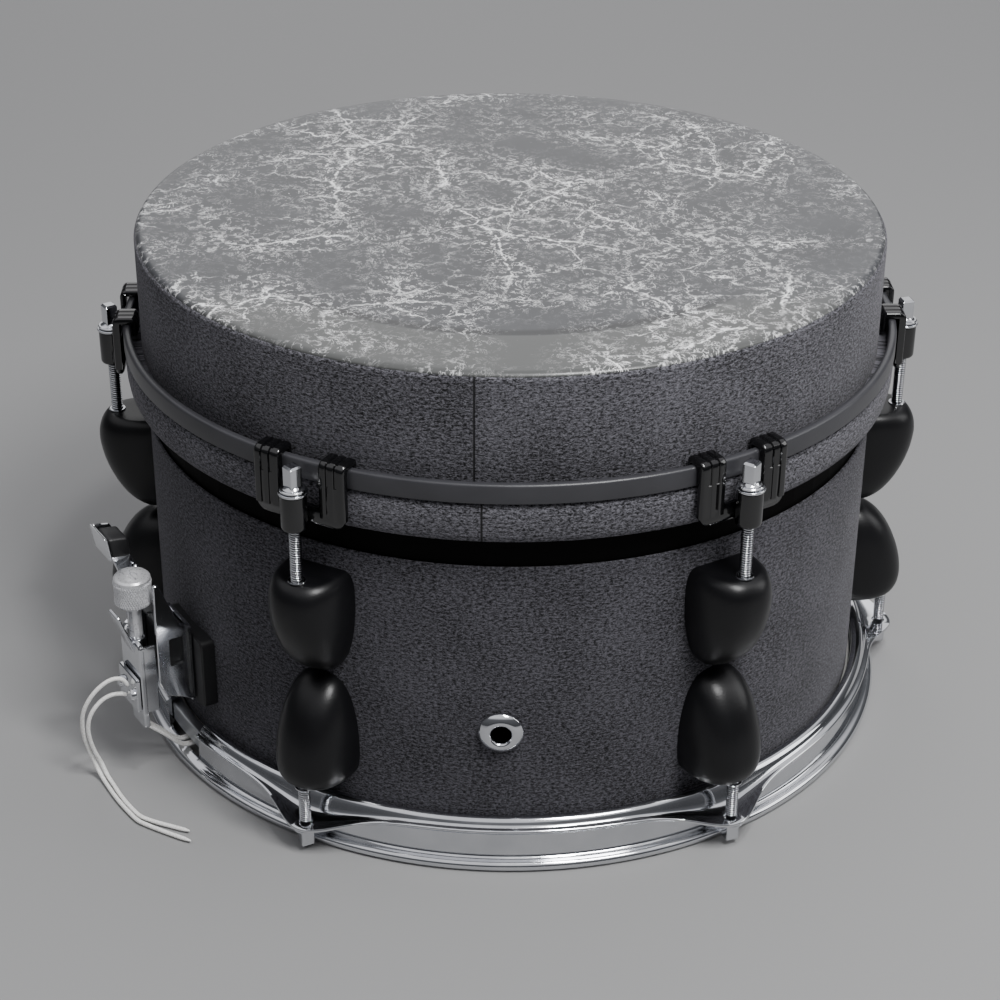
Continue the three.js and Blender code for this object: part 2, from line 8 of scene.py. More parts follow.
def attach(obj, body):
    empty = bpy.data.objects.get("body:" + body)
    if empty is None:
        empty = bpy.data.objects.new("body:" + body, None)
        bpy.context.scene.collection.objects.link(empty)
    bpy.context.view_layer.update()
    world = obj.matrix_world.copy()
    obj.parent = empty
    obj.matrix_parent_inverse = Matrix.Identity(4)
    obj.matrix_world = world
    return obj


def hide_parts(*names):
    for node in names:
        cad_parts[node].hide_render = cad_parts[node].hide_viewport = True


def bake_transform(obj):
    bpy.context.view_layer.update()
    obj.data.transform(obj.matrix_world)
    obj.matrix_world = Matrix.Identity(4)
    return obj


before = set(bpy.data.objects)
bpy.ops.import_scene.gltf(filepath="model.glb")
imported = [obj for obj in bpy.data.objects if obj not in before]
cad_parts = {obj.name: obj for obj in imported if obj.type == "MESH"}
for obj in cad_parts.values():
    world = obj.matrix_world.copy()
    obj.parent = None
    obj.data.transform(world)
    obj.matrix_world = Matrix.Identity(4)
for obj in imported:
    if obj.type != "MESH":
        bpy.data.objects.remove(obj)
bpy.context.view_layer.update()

# ---- Camera --------------------------------------------------------------------------------------
# A long lens about a metre away and a little above the head, so that the whole head and the front
# of the shell show.
camera_data = bpy.data.cameras.new("camera")
camera_data.lens = 81.4
camera_data.sensor_width = 36
camera = bpy.data.objects.new("camera", camera_data)
bpy.context.scene.collection.objects.link(camera)
bpy.context.scene.camera = camera
camera_turn, camera_dip, camera_tilt = -0.0319, 0.5037, 0.0061
camera.matrix_world = (
    Matrix.Translation((-0.0363, -1.0081, 0.6442))
    @ Matrix.Rotation(camera_turn, 4, "Z")
    @ Matrix.Rotation(math.pi / 2 - camera_dip, 4, "X")
    @ Matrix.Rotation(camera_tilt, 4, "Z")
)

# ---- Snare cord tails ----------------------------------------------------------------------------
# Two free ends of the white braided polyester cord that ties the snare wires to the throw-off. They
# come out of the clamp, bend over and lie on the ground, where they were cut with scissors.
THROW_OFF = 210


def rgb(code):
    """An sRGB hex colour as linear red, green, blue and alpha."""
    parts = [int(code[i : i + 2], 16) / 255 for i in (1, 3, 5)]
    return [c / 12.92 if c <= 0.04045 else ((c + 0.055) / 1.055) ** 2.4 for c in parts] + [1]


def add(tree, kind, inputs=None, **settings):
    """Adds a node with its settings. An input takes a value, a socket or a node's first output."""
    node = tree.nodes.new(kind)
    for name, value in settings.items():
        setattr(node, name, value)
    for key, value in (inputs or {}).items():
        if isinstance(value, bpy.types.Node):
            value = value.outputs[0]
        if isinstance(value, bpy.types.NodeSocket):
            tree.links.new(value, node.inputs[key])
        else:
            node.inputs[key].default_value = value
    return node


def new_finish(name, **sockets):
    """A material with these values on its surface shader."""
    material = bpy.data.materials.new(name)
    material.use_nodes = True
    surface = material.node_tree.nodes["Principled BSDF"]
    for key, value in sockets.items():
        surface.inputs[key.replace("_", " ")].default_value = value
    return material, material.node_tree, surface


def coloured(tree, surface, pattern, dark, light):
    """Colours the surface between two shades, as a pattern runs."""
    shade = add(tree, "ShaderNodeValToRGB", {"Fac": pattern})
    shade.color_ramp.elements[0].color = rgb(dark)
    shade.color_ramp.elements[1].color = rgb(light)
    tree.links.new(shade.outputs[0], surface.inputs["Base Color"])


def glossed(tree, surface, pattern, low, high):
    """Lets the surface's roughness run between two values with a pattern."""
    gloss = add(tree, "ShaderNodeMapRange", {"Value": pattern, "To Min": low, "To Max": high})
    tree.links.new(gloss.outputs[0], surface.inputs["Roughness"])


def bumped(tree, surface, pattern, strength, distance):
    """Raises a pattern on the surface, by a distance in metres."""
    bump = add(tree, "ShaderNodeBump", {"Height": pattern, "Strength": strength, "Distance": distance})
    tree.links.new(bump.outputs[0], surface.inputs["Normal"])


def radial(degrees):
    """From millimetres outwards, along the shell and up, at an angle round the drum, to metres."""
    return Matrix.Rotation(math.radians(degrees), 4, "Z") @ Matrix.Scale(0.001, 4)


def make(name, parts, material, degrees=0, sharp=35):
    """One mesh object of closed parts, each a list of points in millimetres and a list of faces."""
    mesh = bpy.data.meshes.new(name)
    build = bmesh.new()
    for points, faces in parts:
        corners = [build.verts.new(point) for point in points]
        for face in faces:
            build.faces.new([corners[i] for i in face])
    bmesh.ops.recalc_face_normals(build, faces=build.faces)
    build.transform(radial(degrees))
    build.to_mesh(mesh)
    build.free()
    mesh.shade_smooth()
    mesh.set_sharp_from_angle(angle=math.radians(sharp))
    mesh.materials.append(material)
    made = bpy.data.objects.new(name, mesh)
    bpy.context.scene.collection.objects.link(made)
    return made


def settle(made, body, slot, *nodes):
    """The piece moves with a body and stands for these solids. Its slot is not used."""
    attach(made, body)
    if nodes:
        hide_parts(*nodes)


def smooth_route(places, per_span=8):
    """A smooth line through a few places, with its points a few per span."""
    line = [Vector(place) for place in places]
    line = [2 * line[0] - line[1], *line, 2 * line[-1] - line[-2]]
    route = []
    for a, b, c, d in zip(line, line[1:], line[2:], line[3:]):
        knots = [0.0]
        for p, q in ((a, b), (b, c), (c, d)):
            knots.append(knots[-1] + math.sqrt((q - p).length))
        for k in range(per_span):
            t = knots[1] + (knots[2] - knots[1]) * k / per_span
            ab = a.lerp(b, (t - knots[0]) / (knots[1] - knots[0]))
            bc = b.lerp(c, (t - knots[1]) / (knots[2] - knots[1]))
            cd = c.lerp(d, (t - knots[2]) / (knots[3] - knots[2]))
            abc = ab.lerp(bc, (t - knots[0]) / (knots[2] - knots[0]))
            bcd = bc.lerp(cd, (t - knots[1]) / (knots[3] - knots[1]))
            route.append(abc.lerp(bcd, (t - knots[1]) / (knots[2] - knots[1])))
    return [*route, line[-2]]


def closed_rings(points, count):
    """One closed solid over rings of this many points each, with a lid on its first and last."""
    faces = [
        (ring + k, ring + (k + 1) % count, ring + (k + 1) % count + count, ring + k + count)
        for ring in range(0, len(points) - count, count)
        for k in range(count)
    ]
    faces += [tuple(range(count)), tuple(range(len(points) - count, len(points)))]
    return points, faces


def round_cord(route, radius, sides=16):
    """A round cord along a route, its ends closed by a small dome."""
    points = []
    side = (route[1] - route[0]).orthogonal().normalized()
    reach = [0.35, 0.75, 0.95] + [1.0] * (len(route) - 6) + [0.95, 0.75, 0.35]
    for i, place in enumerate(route):
        ahead = (route[min(i + 1, len(route) - 1)] - route[max(i - 1, 0)]).normalized()
        side = (side - ahead * side.dot(ahead)).normalized()
        other = ahead.cross(side)
        for k in range(sides):
            turn = 2 * math.pi * k / sides
            lean = side * math.cos(turn) + other * math.sin(turn)
            points.append(place + lean * radius * reach[i])
    return closed_rings(points, sides)


# Braided polyester: soft white, with small bumps 0.8 mm apart where the strands cross.
braid, tree, surface = new_finish("white_braided_polyester", Roughness=0.75, Sheen_Weight=0.25)
where = add(tree, "ShaderNodeTexCoord")
bumps = add(tree, "ShaderNodeTexVoronoi", {"Vector": where.outputs["Object"], "Scale": 1250.0})
shade = add(tree, "ShaderNodeValToRGB", {"Fac": bumps})
shade.color_ramp.elements[0].color = rgb("#ffffff")
shade.color_ramp.elements[1].color = rgb("#e2e0da")
shade.color_ramp.elements[1].position = 0.9
tree.links.new(shade.outputs[0], surface.inputs["Base Color"])
bump = add(tree, "ShaderNodeBump", {"Height": bumps, "Strength": 0.3, "Distance": -0.0002})
tree.links.new(bump.outputs[0], surface.inputs["Normal"])

CORD_RADIUS = 1.0
cord_tails = {
    "snare_cord_a": [
        (212.9, 2.4, 49.4), (214.8, 2.2, 53.2), (217.8, 1.8, 55), (221.6, 1.2, 54.8),
        (226.6, 0.6, 52.2), (231.4, -0.4, 47), (234.6, -2, 39.6), (235.2, -3.6, 31),
        (234, -4.8, 21.6), (231.8, -5, 12.6), (230, -3.4, 5.2), (229.4, 1.6, 1.8), (229.6, 8, 1.3),
        (229.9, 21, 1.2), (229.3, 32.6, 1.2), (228.2, 41, 1.2), (225.2, 47.6, 1.2), (221.2, 55, 1.2),
        (213.8, 67.6, 1.2),
    ],
    "snare_cord_b": [
        (212.7, 0, 43.2), (216, -0.4, 44.6), (220.5, -1, 45), (225.6, -1.6, 43), (230.8, -1.5, 38),
        (232.9, -2.1, 31), (232.4, -2.7, 23), (230.5, -3, 15), (227.8, -2.8, 7.5), (226.8, 1.4, 2.2),
        (226.9, 8, 1.3), (227.4, 20, 1.2), (226.9, 31.5, 1.2), (225.8, 38.6, 1.2), (222.6, 44.6, 1.2),
        (218.4, 50.6, 1.2), (211.1, 60.4, 1.2),
    ],
}
for name, places in cord_tails.items():
    route = smooth_route(places)
    tail = make(f"{name}_tail", [round_cord(route, CORD_RADIUS)], braid, THROW_OFF)
    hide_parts(name)
    start = radial(THROW_OFF) @ Vector((213, 0, 48))
    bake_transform(tail)

# ---- Shell ---------------------------------------------------------------------------------------
# Birch plies moulded round a former, with a bevelled bearing edge at each end, stained black. Only
# a band of it shows, between the felt and the flesh hoop, and its colour is made darker still with
# painted shade for the shadow in that gap.
ply_stain_and_gap_shade, tree, surface = new_finish("black_stained_birch_ply_and_painted_gap_shade", Roughness=0.7)
surface.inputs["Specular IOR Level"].default_value = 0.08
where = add(tree, "ShaderNodeTexCoord")
squeeze = add(tree, "ShaderNodeMapping", {"Vector": where.outputs["Object"], "Scale": (1, 1, 9)})
grain = add(tree, "ShaderNodeTexNoise", {"Vector": squeeze, "Scale": 90.0, "Detail": 6.0})
coloured(tree, surface, grain, "#020202", "#070606")
bumped(tree, surface, grain, 0.2, 0.0003)
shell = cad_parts["shell"]
shell.data.materials.clear()
shell.data.materials.append(ply_stain_and_gap_shade)

# ---- Felt wrap, collar and band ------------------------------------------------------------------
# Charcoal polyester needle felt, about 1.3 mm thick, glued round the shell, the tall head collar and
# the flesh hoop. Its pressed fibres lie mostly round the drum, and each strip closes in one seam.
def rounded(outline, radius=0.4, steps=3):
    """The closed outline with its corners rounded. A corner's third number is its own radius."""
    result = []
    for i, corner in enumerate(outline):
        here = Vector(corner[:2])
        before = Vector(outline[i - 1][:2]) - here
        after = Vector(outline[(i + 1) % len(outline)][:2]) - here
        own = corner[2] if len(corner) > 2 else radius
        if own <= 0:
            result.append(tuple(here))
            continue
        reach = own / math.tan(before.angle(after) / 2)
        a = before.normalized() * min(reach, 0.45 * before.length)
        b = after.normalized() * min(reach, 0.45 * after.length)
        for k in range(steps + 1):
            t = k / steps
            result.append(tuple(here + a * (1 - t) ** 2 + b * t**2))
    return result


def turned(profile, steps=360, x=0, y=0):
    """A closed profile of radius and height turned about an upright axis at x and y."""
    points, faces, rings = [], [], []
    for radius, height in profile:
        count = steps if radius > 1e-6 else 1
        rings.append(range(len(points), len(points) + count))
        for k in range(count):
            turn = 2 * math.pi * k / steps
            points.append((x + radius * math.cos(turn), y + radius * math.sin(turn), height))
    for low, high in zip(rings, [*rings[1:], rings[0]]):
        for k in range(steps if len(low) + len(high) > 2 else 0):
            a, b = low[k % len(low)], low[(k + 1) % len(low)]
            c, d = high[(k + 1) % len(high)], high[k % len(high)]
            faces.append(tuple(dict.fromkeys((a, b, c, d))))
    return points, faces


def felt(name, seam, light, dark):
    """Needle felt: matt, with fibres 0.6 to 2 mm long drawn as pale flecks, and one closing seam."""
    material, tree, surface = new_finish(name, Roughness=0.95, Sheen_Weight=0.3)
    surface.inputs["Sheen Tint"].default_value = rgb("#9a999c")
    surface.inputs["Specular IOR Level"].default_value = 0.2
    where = add(tree, "ShaderNodeTexCoord").outputs["Object"]
    # A seam is turned to -X, where the angle round the drum starts again.
    turn = (0, 0, math.radians(180 - seam))
    turned_round = add(tree, "ShaderNodeMapping", {"Vector": where, "Rotation": turn})
    axes = add(tree, "ShaderNodeSeparateXYZ", {"Vector": turned_round})
    angle = add(tree, "ShaderNodeMath", {0: axes.outputs[1], 1: axes.outputs[0]}, operation="ARCTAN2")
    along = add(tree, "ShaderNodeMath", {0: angle, 1: 0.177}, operation="MULTIPLY")
    flat = add(tree, "ShaderNodeCombineXYZ", {"X": along, "Y": axes.outputs[2]})
    lay = add(tree, "ShaderNodeMapping", {"Vector": flat, "Scale": (0.5, 1, 1)})
    wander = add(tree, "ShaderNodeTexNoise", {"Vector": flat, "Scale": 260.0, "Detail": 2.0})
    bend = add(
        tree,
        "ShaderNodeVectorMath",
        {0: wander.outputs[1], 1: (0.0016, 0.0016, 0)},
        operation="MULTIPLY",
    )
    bent = add(tree, "ShaderNodeVectorMath", {0: lay, 1: bend}, operation="ADD")
    fibres = add(
        tree, "ShaderNodeTexNoise", {"Vector": bent, "Scale": 1900.0, "Detail": 3.0, "Roughness": 0.7}
    )
    tufts = add(
        tree, "ShaderNodeTexNoise", {"Vector": lay, "Scale": 900.0, "Detail": 4.0, "Roughness": 0.7}
    )
    patches = add(tree, "ShaderNodeTexNoise", {"Vector": flat, "Scale": 28.0, "Detail": 3.0})
    mixed = add(tree, "ShaderNodeMath", {0: fibres, 1: tufts}, operation="MULTIPLY")
    mottled = add(tree, "ShaderNodeMath", {0: patches, 1: 0.09, 2: mixed}, operation="MULTIPLY_ADD")
    shade = add(tree, "ShaderNodeValToRGB", {"Fac": mottled})
    shade.color_ramp.elements[0].color = rgb(dark)
    shade.color_ramp.elements[0].position = 0.225
    shade.color_ramp.elements[1].color = rgb(light)
    shade.color_ramp.elements[1].position = 0.385
    # The seam is a dark line 0.6 mm wide where the two cut ends meet.
    edge = add(tree, "ShaderNodeMath", {0: angle}, operation="ABSOLUTE")
    closing = add(
        tree,
        "ShaderNodeMapRange",
        {"Value": edge, "From Min": math.pi - 0.0035, "From Max": math.pi - 0.001},
    )
    line = add(tree, "ShaderNodeMixRGB", {"Fac": closing, "Color1": shade, "Color2": rgb("#1a1a1b")})
    tree.links.new(line.outputs[0], surface.inputs["Base Color"])
    sunk = add(tree, "ShaderNodeMath", {0: mixed, 1: closing}, operation="SUBTRACT")
    bumped(tree, surface, sunk, 0.8, 0.0006)
    return material


def cut(made, parts, degrees=(0,)):
    """Cuts the parts out of a piece, at each of these angles round the drum."""
    for turn in degrees:
        cutter = make("cutter", parts, made.data.materials[0], turn)
        modifier = made.modifiers.new("cut", "BOOLEAN")
        modifier.object = cutter
        modifier.solver = "EXACT"
        depsgraph = bpy.context.evaluated_depsgraph_get()
        mesh = bpy.data.meshes.new_from_object(made.evaluated_get(depsgraph))
        made.modifiers.clear()
        made.data = mesh
        bpy.data.objects.remove(cutter)
    made.data.set_sharp_from_angle(angle=math.radians(35))


def lying(part, x, z):
    """A part turned about Z, laid so that its axis points outwards from x at height z."""
    points, faces = part
    return [(x + p[2], p[1], z - p[0]) for p in points], faces


VENT = 267.2
VENT_HEIGHT = 68
FELT_RADIUS = 176.6
wrap_felt = felt("charcoal_needle_felt", 88, "#626168", "#0b0b0c")
wrap = make(
    "felt_wrap",
    [turned(rounded([(175.3, 15.3), (FELT_RADIUS, 15.3), (FELT_RADIUS, 152.5), (175.3, 152.5)], 0.6))],
    wrap_felt,
)
cut(wrap, [lying(turned([(0, -8), (6.5, -8), (6.5, 8), (0, 8)], 32), 176, VENT_HEIGHT)], [VENT])
settle(wrap, "drum", "felt", "shell_felt")

collar_felt = felt("charcoal_collar_felt", 263.3, "#75747b", "#0d0d0e")
collar = make(
    "collar",
    [
        turned(
            rounded(
                [(175.9, 188.5), (177.8, 188.5), (177.8, 241.6, 1.6), (176.7, 243, 0.8), (175.9, 243)],
                0.3,
            )
        )
    ],
    collar_felt,
)
settle(collar, "drum", "felt", "head_collar")

band_felt = felt("charcoal_band_felt", 264.5, "#7a7980", "#0f0f10")
band_profile = [
    (175.9, 169.4), (181.4, 168), (183.8, 169.3), (185, 172), (185.6, 176), (185.8, 180),
    (185.6, 184), (184.9, 186.8), (183.6, 188.2), (175.9, 188.2),
]
band = make("flesh_hoop_band", [turned(rounded(band_profile, 2))], band_felt)
settle(band, "drum", "felt", "flesh_hoop")

# ---- Head ----------------------------------------------------------------------------------------
# A composite polyester film with pale crackle marbling printed under a satin skin. It rolls over the
# rim into the felt collar, and a 40 mm damping ring laid under its edge shows as a faint step.
film, tree, surface = new_finish("marbled_satin_polyester_film", Roughness=0.37)
surface.inputs["Coat Weight"].default_value = 0.3
surface.inputs["Coat Roughness"].default_value = 0.16
where = add(tree, "ShaderNodeTexCoord").outputs["Object"]
axes = add(tree, "ShaderNodeSeparateXYZ", {"Vector": where})
flat = add(tree, "ShaderNodeCombineXYZ", {"X": axes.outputs[0], "Y": axes.outputs[1]})
squares = [
    add(tree, "ShaderNodeMath", {0: axes.outputs[i], 1: axes.outputs[i]}, operation="MULTIPLY")
    for i in (0, 1)
]
square = add(tree, "ShaderNodeMath", {0: squares[0], 1: squares[1]}, operation="ADD")
from_centre = add(tree, "ShaderNodeMath", {0: square}, operation="SQRT")


def bent(scale, amount, shift):
    """The flat place, pushed about by a cloudy noise and moved aside."""
    noise = add(
        tree,
        "ShaderNodeTexNoise",
        {"Vector": flat, "Scale": scale, "Detail": 7.0, "Roughness": 0.62},
    )
    centred = add(
        tree, "ShaderNodeVectorMath", {0: noise.outputs[1], 1: (0.5, 0.5, 0.5)}, operation="SUBTRACT"
    )
    return add(
        tree,
        "ShaderNodeVectorMath",
        {0: centred, 1: (amount, amount, 0), 2: shifted_pattern(shift)},
        operation="MULTIPLY_ADD",
    )


def shifted_pattern(shift):
    """The flat place moved aside, so that two patterns differ."""
    return add(tree, "ShaderNodeMapping", {"Vector": flat, "Location": (shift, -shift, 0)})


def fade(value, low, high, at_low=0.0, at_high=1.0):
    """A value turned into a share between its two ends."""
    ends = {"From Min": low, "From Max": high, "To Min": at_low, "To Max": at_high}
    return add(tree, "ShaderNodeMapRange", {"Value": value, **ends}, interpolation_type="SMOOTHSTEP")


def combined(a, b, operation="MULTIPLY"):
    """Two shares together."""
    return add(tree, "ShaderNodeMath", {0: a, 1: b}, operation=operation)


def cell_walls(scale, bend_scale, bend_amount, shift):
    """The distance from the walls between crazed cells 1/scale wide."""
    return add(
        tree,
        "ShaderNodeTexVoronoi",
        {"Vector": bent(bend_scale, bend_amount, shift), "Scale": scale},
        feature="DISTANCE_TO_EDGE",
        voronoi_dimensions="2D",
    )


def threads(scale, width, shift):
    """Wandering hair-thin threads, where a cloudy noise crosses its middle value."""
    noise = add(
        tree,
        "ShaderNodeTexNoise",
        {
            "Vector": shifted_pattern(shift),
            "Scale": scale,
            "Detail": 5.0,
            "Roughness": 0.68,
            "Distortion": 1.2,
        },
    )
    off_middle = add(tree, "ShaderNodeMath", {0: noise, 1: 0.5}, operation="SUBTRACT")
    away = add(tree, "ShaderNodeMath", {0: off_middle}, operation="ABSOLUTE")
    return fade(away, 0.0, width, 1.0, 0.0)


# Long main cracks run through the film, and short threads gather along them in feathery bundles.
main_walls = cell_walls(17.0, 17.0, 0.05, 0.31)
side_walls = cell_walls(31.0, 40.0, 0.03, 0.77)
patch = add(tree, "ShaderNodeTexNoise", {"Vector": shifted_pattern(0.57), "Scale": 13.0, "Detail": 4.0})
lively = fade(patch, 0.3, 0.52)
bundle = combined(fade(main_walls, 0.0, 0.42, 1.0, 0.1), lively)
side_bundle = combined(fade(side_walls, 0.0, 0.3, 0.9, 0.05), fade(patch, 0.45, 0.62))
bundles = combined(bundle, side_bundle, "MAXIMUM")
fine_walls = cell_walls(150.0, 190.0, 0.012, 0.13)
fibres = combined(threads(46.0, 0.011, 0.2), threads(110.0, 0.018, 0.9), "MAXIMUM")
fine_cracks = combined(fade(fine_walls, 0.0, 0.04, 0.8, 0.0), fade(patch, 0.55, 0.72))
fibres = combined(fibres, fine_cracks, "MAXIMUM")
breaks = add(tree, "ShaderNodeTexNoise", {"Vector": flat, "Scale": 210.0, "Detail": 4.0})
broken = fade(breaks, 0.42, 0.52)
cores = combined(fade(main_walls, 0.0, 0.018, 1.0, 0.0), fade(patch, 0.42, 0.56))
side_cores = combined(fade(side_walls, 0.0, 0.02, 0.9, 0.0), fade(patch, 0.45, 0.56))
cores = combined(combined(cores, side_cores, "MAXIMUM"), fade(breaks, 0.36, 0.5))
specks = combined(fade(breaks, 0.66, 0.72), fade(patch, 0.4, 0.6, 0.1, 0.6))
veins = combined(combined(combined(fibres, broken), bundles), cores, "MAXIMUM")
veins = combined(veins, specks, "MAXIMUM")
cloud = add(
    tree, "ShaderNodeTexNoise", {"Vector": flat, "Scale": 24.0, "Detail": 6.0, "Roughness": 0.6}
)
ground = add(tree, "ShaderNodeValToRGB", {"Fac": cloud})
ground.color_ramp.elements[0].color = rgb("#333437")
ground.color_ramp.elements[0].position = 0.3
ground.color_ramp.elements[1].color = rgb("#434447")
ground.color_ramp.elements[1].position = 0.72
# The damping ring under the film shows by painted light: a painted highlight makes its edge paler and a
# painted shade line lies just inside it, only towards the front, where the film lies down on it.
front = fade(axes.outputs[1], -0.12, -0.085, 1.0, 0.0)
painted_highlight_mask = combined(fade(from_centre, 0.1395, 0.1405), front)
with_painted_highlight = add(tree, "ShaderNodeMixRGB", {"Fac": painted_highlight_mask, "Color1": ground, "Color2": rgb("#4a4b4a")})
crease_shade_start = fade(from_centre, 0.132, 0.1365, 0.0, 0.85)
crease_shade_band = combined(crease_shade_start, fade(from_centre, 0.139, 0.141, 1.0, 0.0))
painted_crease_shade = combined(crease_shade_band, front)
ground = add(tree, "ShaderNodeMixRGB", {"Fac": painted_crease_shade, "Color1": with_painted_highlight, "Color2": rgb("#161617")})
marbled = add(tree, "ShaderNodeMixRGB", {"Fac": veins, "Color1": ground, "Color2": rgb("#ffffff")})
tree.links.new(marbled.outputs[0], surface.inputs["Base Color"])
grain = add(tree, "ShaderNodeTexNoise", {"Vector": where, "Scale": 1600.0, "Detail": 2.0})
skin = add(tree, "ShaderNodeMath", {0: grain, 1: 0.25, 2: veins}, operation="MULTIPLY_ADD")
bumped(tree, surface, skin, 0.25, 0.0002)

film_profile = [
    (0, 243.9), (174.8, 243.4), (175.6, 242.9), (176.6, 242.1), (176.9, 242.7), (176.7, 243.3),
    (176.1, 243.9), (175.1, 244.4), (173.4, 244.7), (170, 244.8), (150, 244.8), (141.5, 244.75),
    (140, 244.68), (138, 244.58), (132, 244.58), (110, 244.6), (60, 244.6), (0, 244.6),
]
head = make("head", [turned(film_profile)], film, sharp=60)
settle(head, "drum", "film", "head_film")
ring = make(
    "head_damping_ring",
    [turned(rounded([(134, 242.95), (174, 242.95), (174, 243.5), (134, 243.5)], 0.2))],
    film,
)
settle(ring, "drum", "film", "damping_ring")

# ---- Counter hoop --------------------------------------------------------------------------------
# A flat steel bar rolled into a ring and powder-coated satin black. Its top edge is worn smooth by
# hands and sticks.
def powder_coat(name, dark, light, gloss):
    """Satin powder coat: fine orange peel, and a sheen that varies with handling."""
    material, tree, surface = new_finish(name)
    surface.inputs["Specular IOR Level"].default_value = gloss
    where = add(tree, "ShaderNodeTexCoord").outputs["Object"]
    orange_peel = add(tree, "ShaderNodeTexNoise", {"Vector": where, "Scale": 1100.0, "Detail": 2.0})
    handling = add(tree, "ShaderNodeTexNoise", {"Vector": where, "Scale": 45.0, "Detail": 4.0})
    coloured(tree, surface, handling, dark, light)
    glossed(tree, surface, handling, 0.28, 0.42)
    bumped(tree, surface, orange_peel, 0.2, 0.0002)
    return material


hoop_coat = powder_coat("satin_black_coat_on_the_hoop", "#2c2c2f", "#404044", 0.5)
hoop_outline = [(182.4, 188.5), (186.2, 188.5), (186.2, 197.6, 1.7), (182.4, 197.6, 1.4)]
counter_hoop = make("counter_hoop_bar", [turned(rounded(hoop_outline, 0.5, 4))], hoop_coat)
settle(counter_hoop, "drum", "black_satin", "counter_hoop")

# ---- Claws ---------------------------------------------------------------------------------------
# Pressure die-cast zinc, sprayed gloss black. Two ribbed arms hook over the counter hoop, and a
# saddle between them carries the sleeve that the tension rod pulls down on.
LUGS = 6


def prism(outline, low, high, axis="y", edge=0.3):
    """An outline stretched between two places along an axis, with both rims bevelled."""
    middle = []
    for i, (u, v) in enumerate(outline):
        before, after = Vector(outline[i - 1]), Vector(outline[(i + 1) % len(outline)])
        a = (Vector((u, v)) - before).normalized()
        b = (after - Vector((u, v))).normalized()
        inwards = Vector((-(a + b).y, (a + b).x))
        inwards = inwards.normalized() if inwards.length > 1e-6 else Vector((-a.y, a.x))
        middle.append((Vector((u, v)), inwards))
    area = sum(a[0] * b[1] - b[0] * a[1] for a, b in zip(outline, outline[1:] + outline[:1]))
    inset = edge if area > 0 else -edge
    points = []
    for depth, shrink in ((low, inset), (low + edge, 0), (high - edge, 0), (high, inset)):
        for place, inwards in middle:
            u, v = place + inwards * shrink
            points.append({"x": (depth, u, v), "y": (u, depth, v), "z": (u, v, depth)}[axis])
    return closed_rings(points, len(outline))


def ribbed_arm(middle, width):
    """A hook over the ring, its outside drawn into three ribs with two grooves between them."""
    outside = [(190, 174), (190, 197.2)]
    outside += [
        (186.4 + 3.6 * math.cos(t), 197.2 + 3.6 * math.sin(t))
        for t in [math.radians(a) for a in range(15, 91, 15)]
    ]
    outside += [
        (180.6 + 2.4 * math.cos(t), 198.4 + 2.4 * math.sin(t))
        for t in [math.radians(a) for a in range(90, 181, 15)]
    ]
    outside += [(178.2, 192)]
    inside = [(180.4, 191.6), (180.6, 197.9), (186.5, 197.9), (186.5, 174)]
    groove = 0.75
    stations = [(-0.5, 0.7), (-0.47, 0.25), (-0.42, 0)]
    for centre in (-0.165, 0.165):
        stations += [(centre - 0.075, 0), (centre - 0.035, groove), (centre + 0.035, groove)]
        stations += [(centre + 0.075, 0)]
    stations += [(0.42, 0), (0.47, 0.25), (0.5, 0.7)]
    points = []
    for along, sink in stations:
        for i, (x, z) in enumerate(outside):
            before = Vector(outside[max(i - 1, 0)])
            after = Vector(outside[min(i + 1, len(outside) - 1)])
            ahead = (after - before).normalized()
            points.append((x - sink * ahead.y, middle + along * width, z + sink * ahead.x))
        points += [(x, middle + along * width, z) for x, z in inside]
    return closed_rings(points, len(outside) + len(inside))


gloss_black, tree, surface = new_finish("gloss_black_sprayed_zinc", Roughness=0.08)
surface.inputs["Specular IOR Level"].default_value = 0.8
where = add(tree, "ShaderNodeTexCoord").outputs["Object"]
flow = add(tree, "ShaderNodeTexNoise", {"Vector": where, "Scale": 160.0, "Detail": 2.0})
coloured(tree, surface, flow, "#030303", "#08080a")
bumped(tree, surface, flow, 0.08, 0.0005)

saddle = rounded(
    [
        (-22.4, 190, 0), (-22.4, 169.6, 7), (22.4, 169.6, 7), (22.4, 190, 0), (9.9, 190, 0),
        (9.9, 178, 2.5), (-9.9, 178, 2.5), (-9.9, 190, 0),
    ],
    steps=6,
)
UPPER_ROD = 194
sleeve = rounded([(3.1, 168.3), (5.9, 168.3, 1.8), (5.9, 185, 0.4), (3.1, 185)], 0.3)
claw_parts = [
    ribbed_arm(-16.2, 12.5),
    ribbed_arm(16.2, 12.5),
    prism(saddle, 186.5, 189.7, "x", 0.8),
    turned(sleeve, 48, UPPER_ROD),
]
for i in range(LUGS):
    claw = make(f"claw_hook_{i + 1}", claw_parts, gloss_black, 60 * i, 50)
    settle(claw, "drum", "gloss_black", f"claw_{i + 1}")

# ---- Lugs ----------------------------------------------------------------------------------------
# Hollow zinc castings in the shape of half a drop, powder-coated satin black and screwed to the
# shell from inside, point to point in pairs. A chromed insert lines the mouth of each bore.
LUG_SEAT = 176.9
lug_coat = powder_coat("satin_black_coat_on_the_lugs", "#070708", "#0f0f12", 0.35)
# How far the body stands out, and how far it reaches to each side, on the way from tip to mouth.
lug_outline = [
    (0.3, 0, 0), (6.6, 8, 2.2), (12.6, 12.2, 6.5), (17.6, 14.8, 12.5), (21.2, 16.4, 19),
    (24.2, 17.5, 26.5), (26, 18, 34), (26.6, 18, 41), (25.6, 17.5, 46.5), (23.4, 16.2, 50.3),
    (20.6, 14.2, 52.2), (17.5, 12, 52.6), (8, 6, 52.6), (1, 1, 52.6),
]
lug_curve = [tuple(place) for place in smooth_route(lug_outline, 4)]


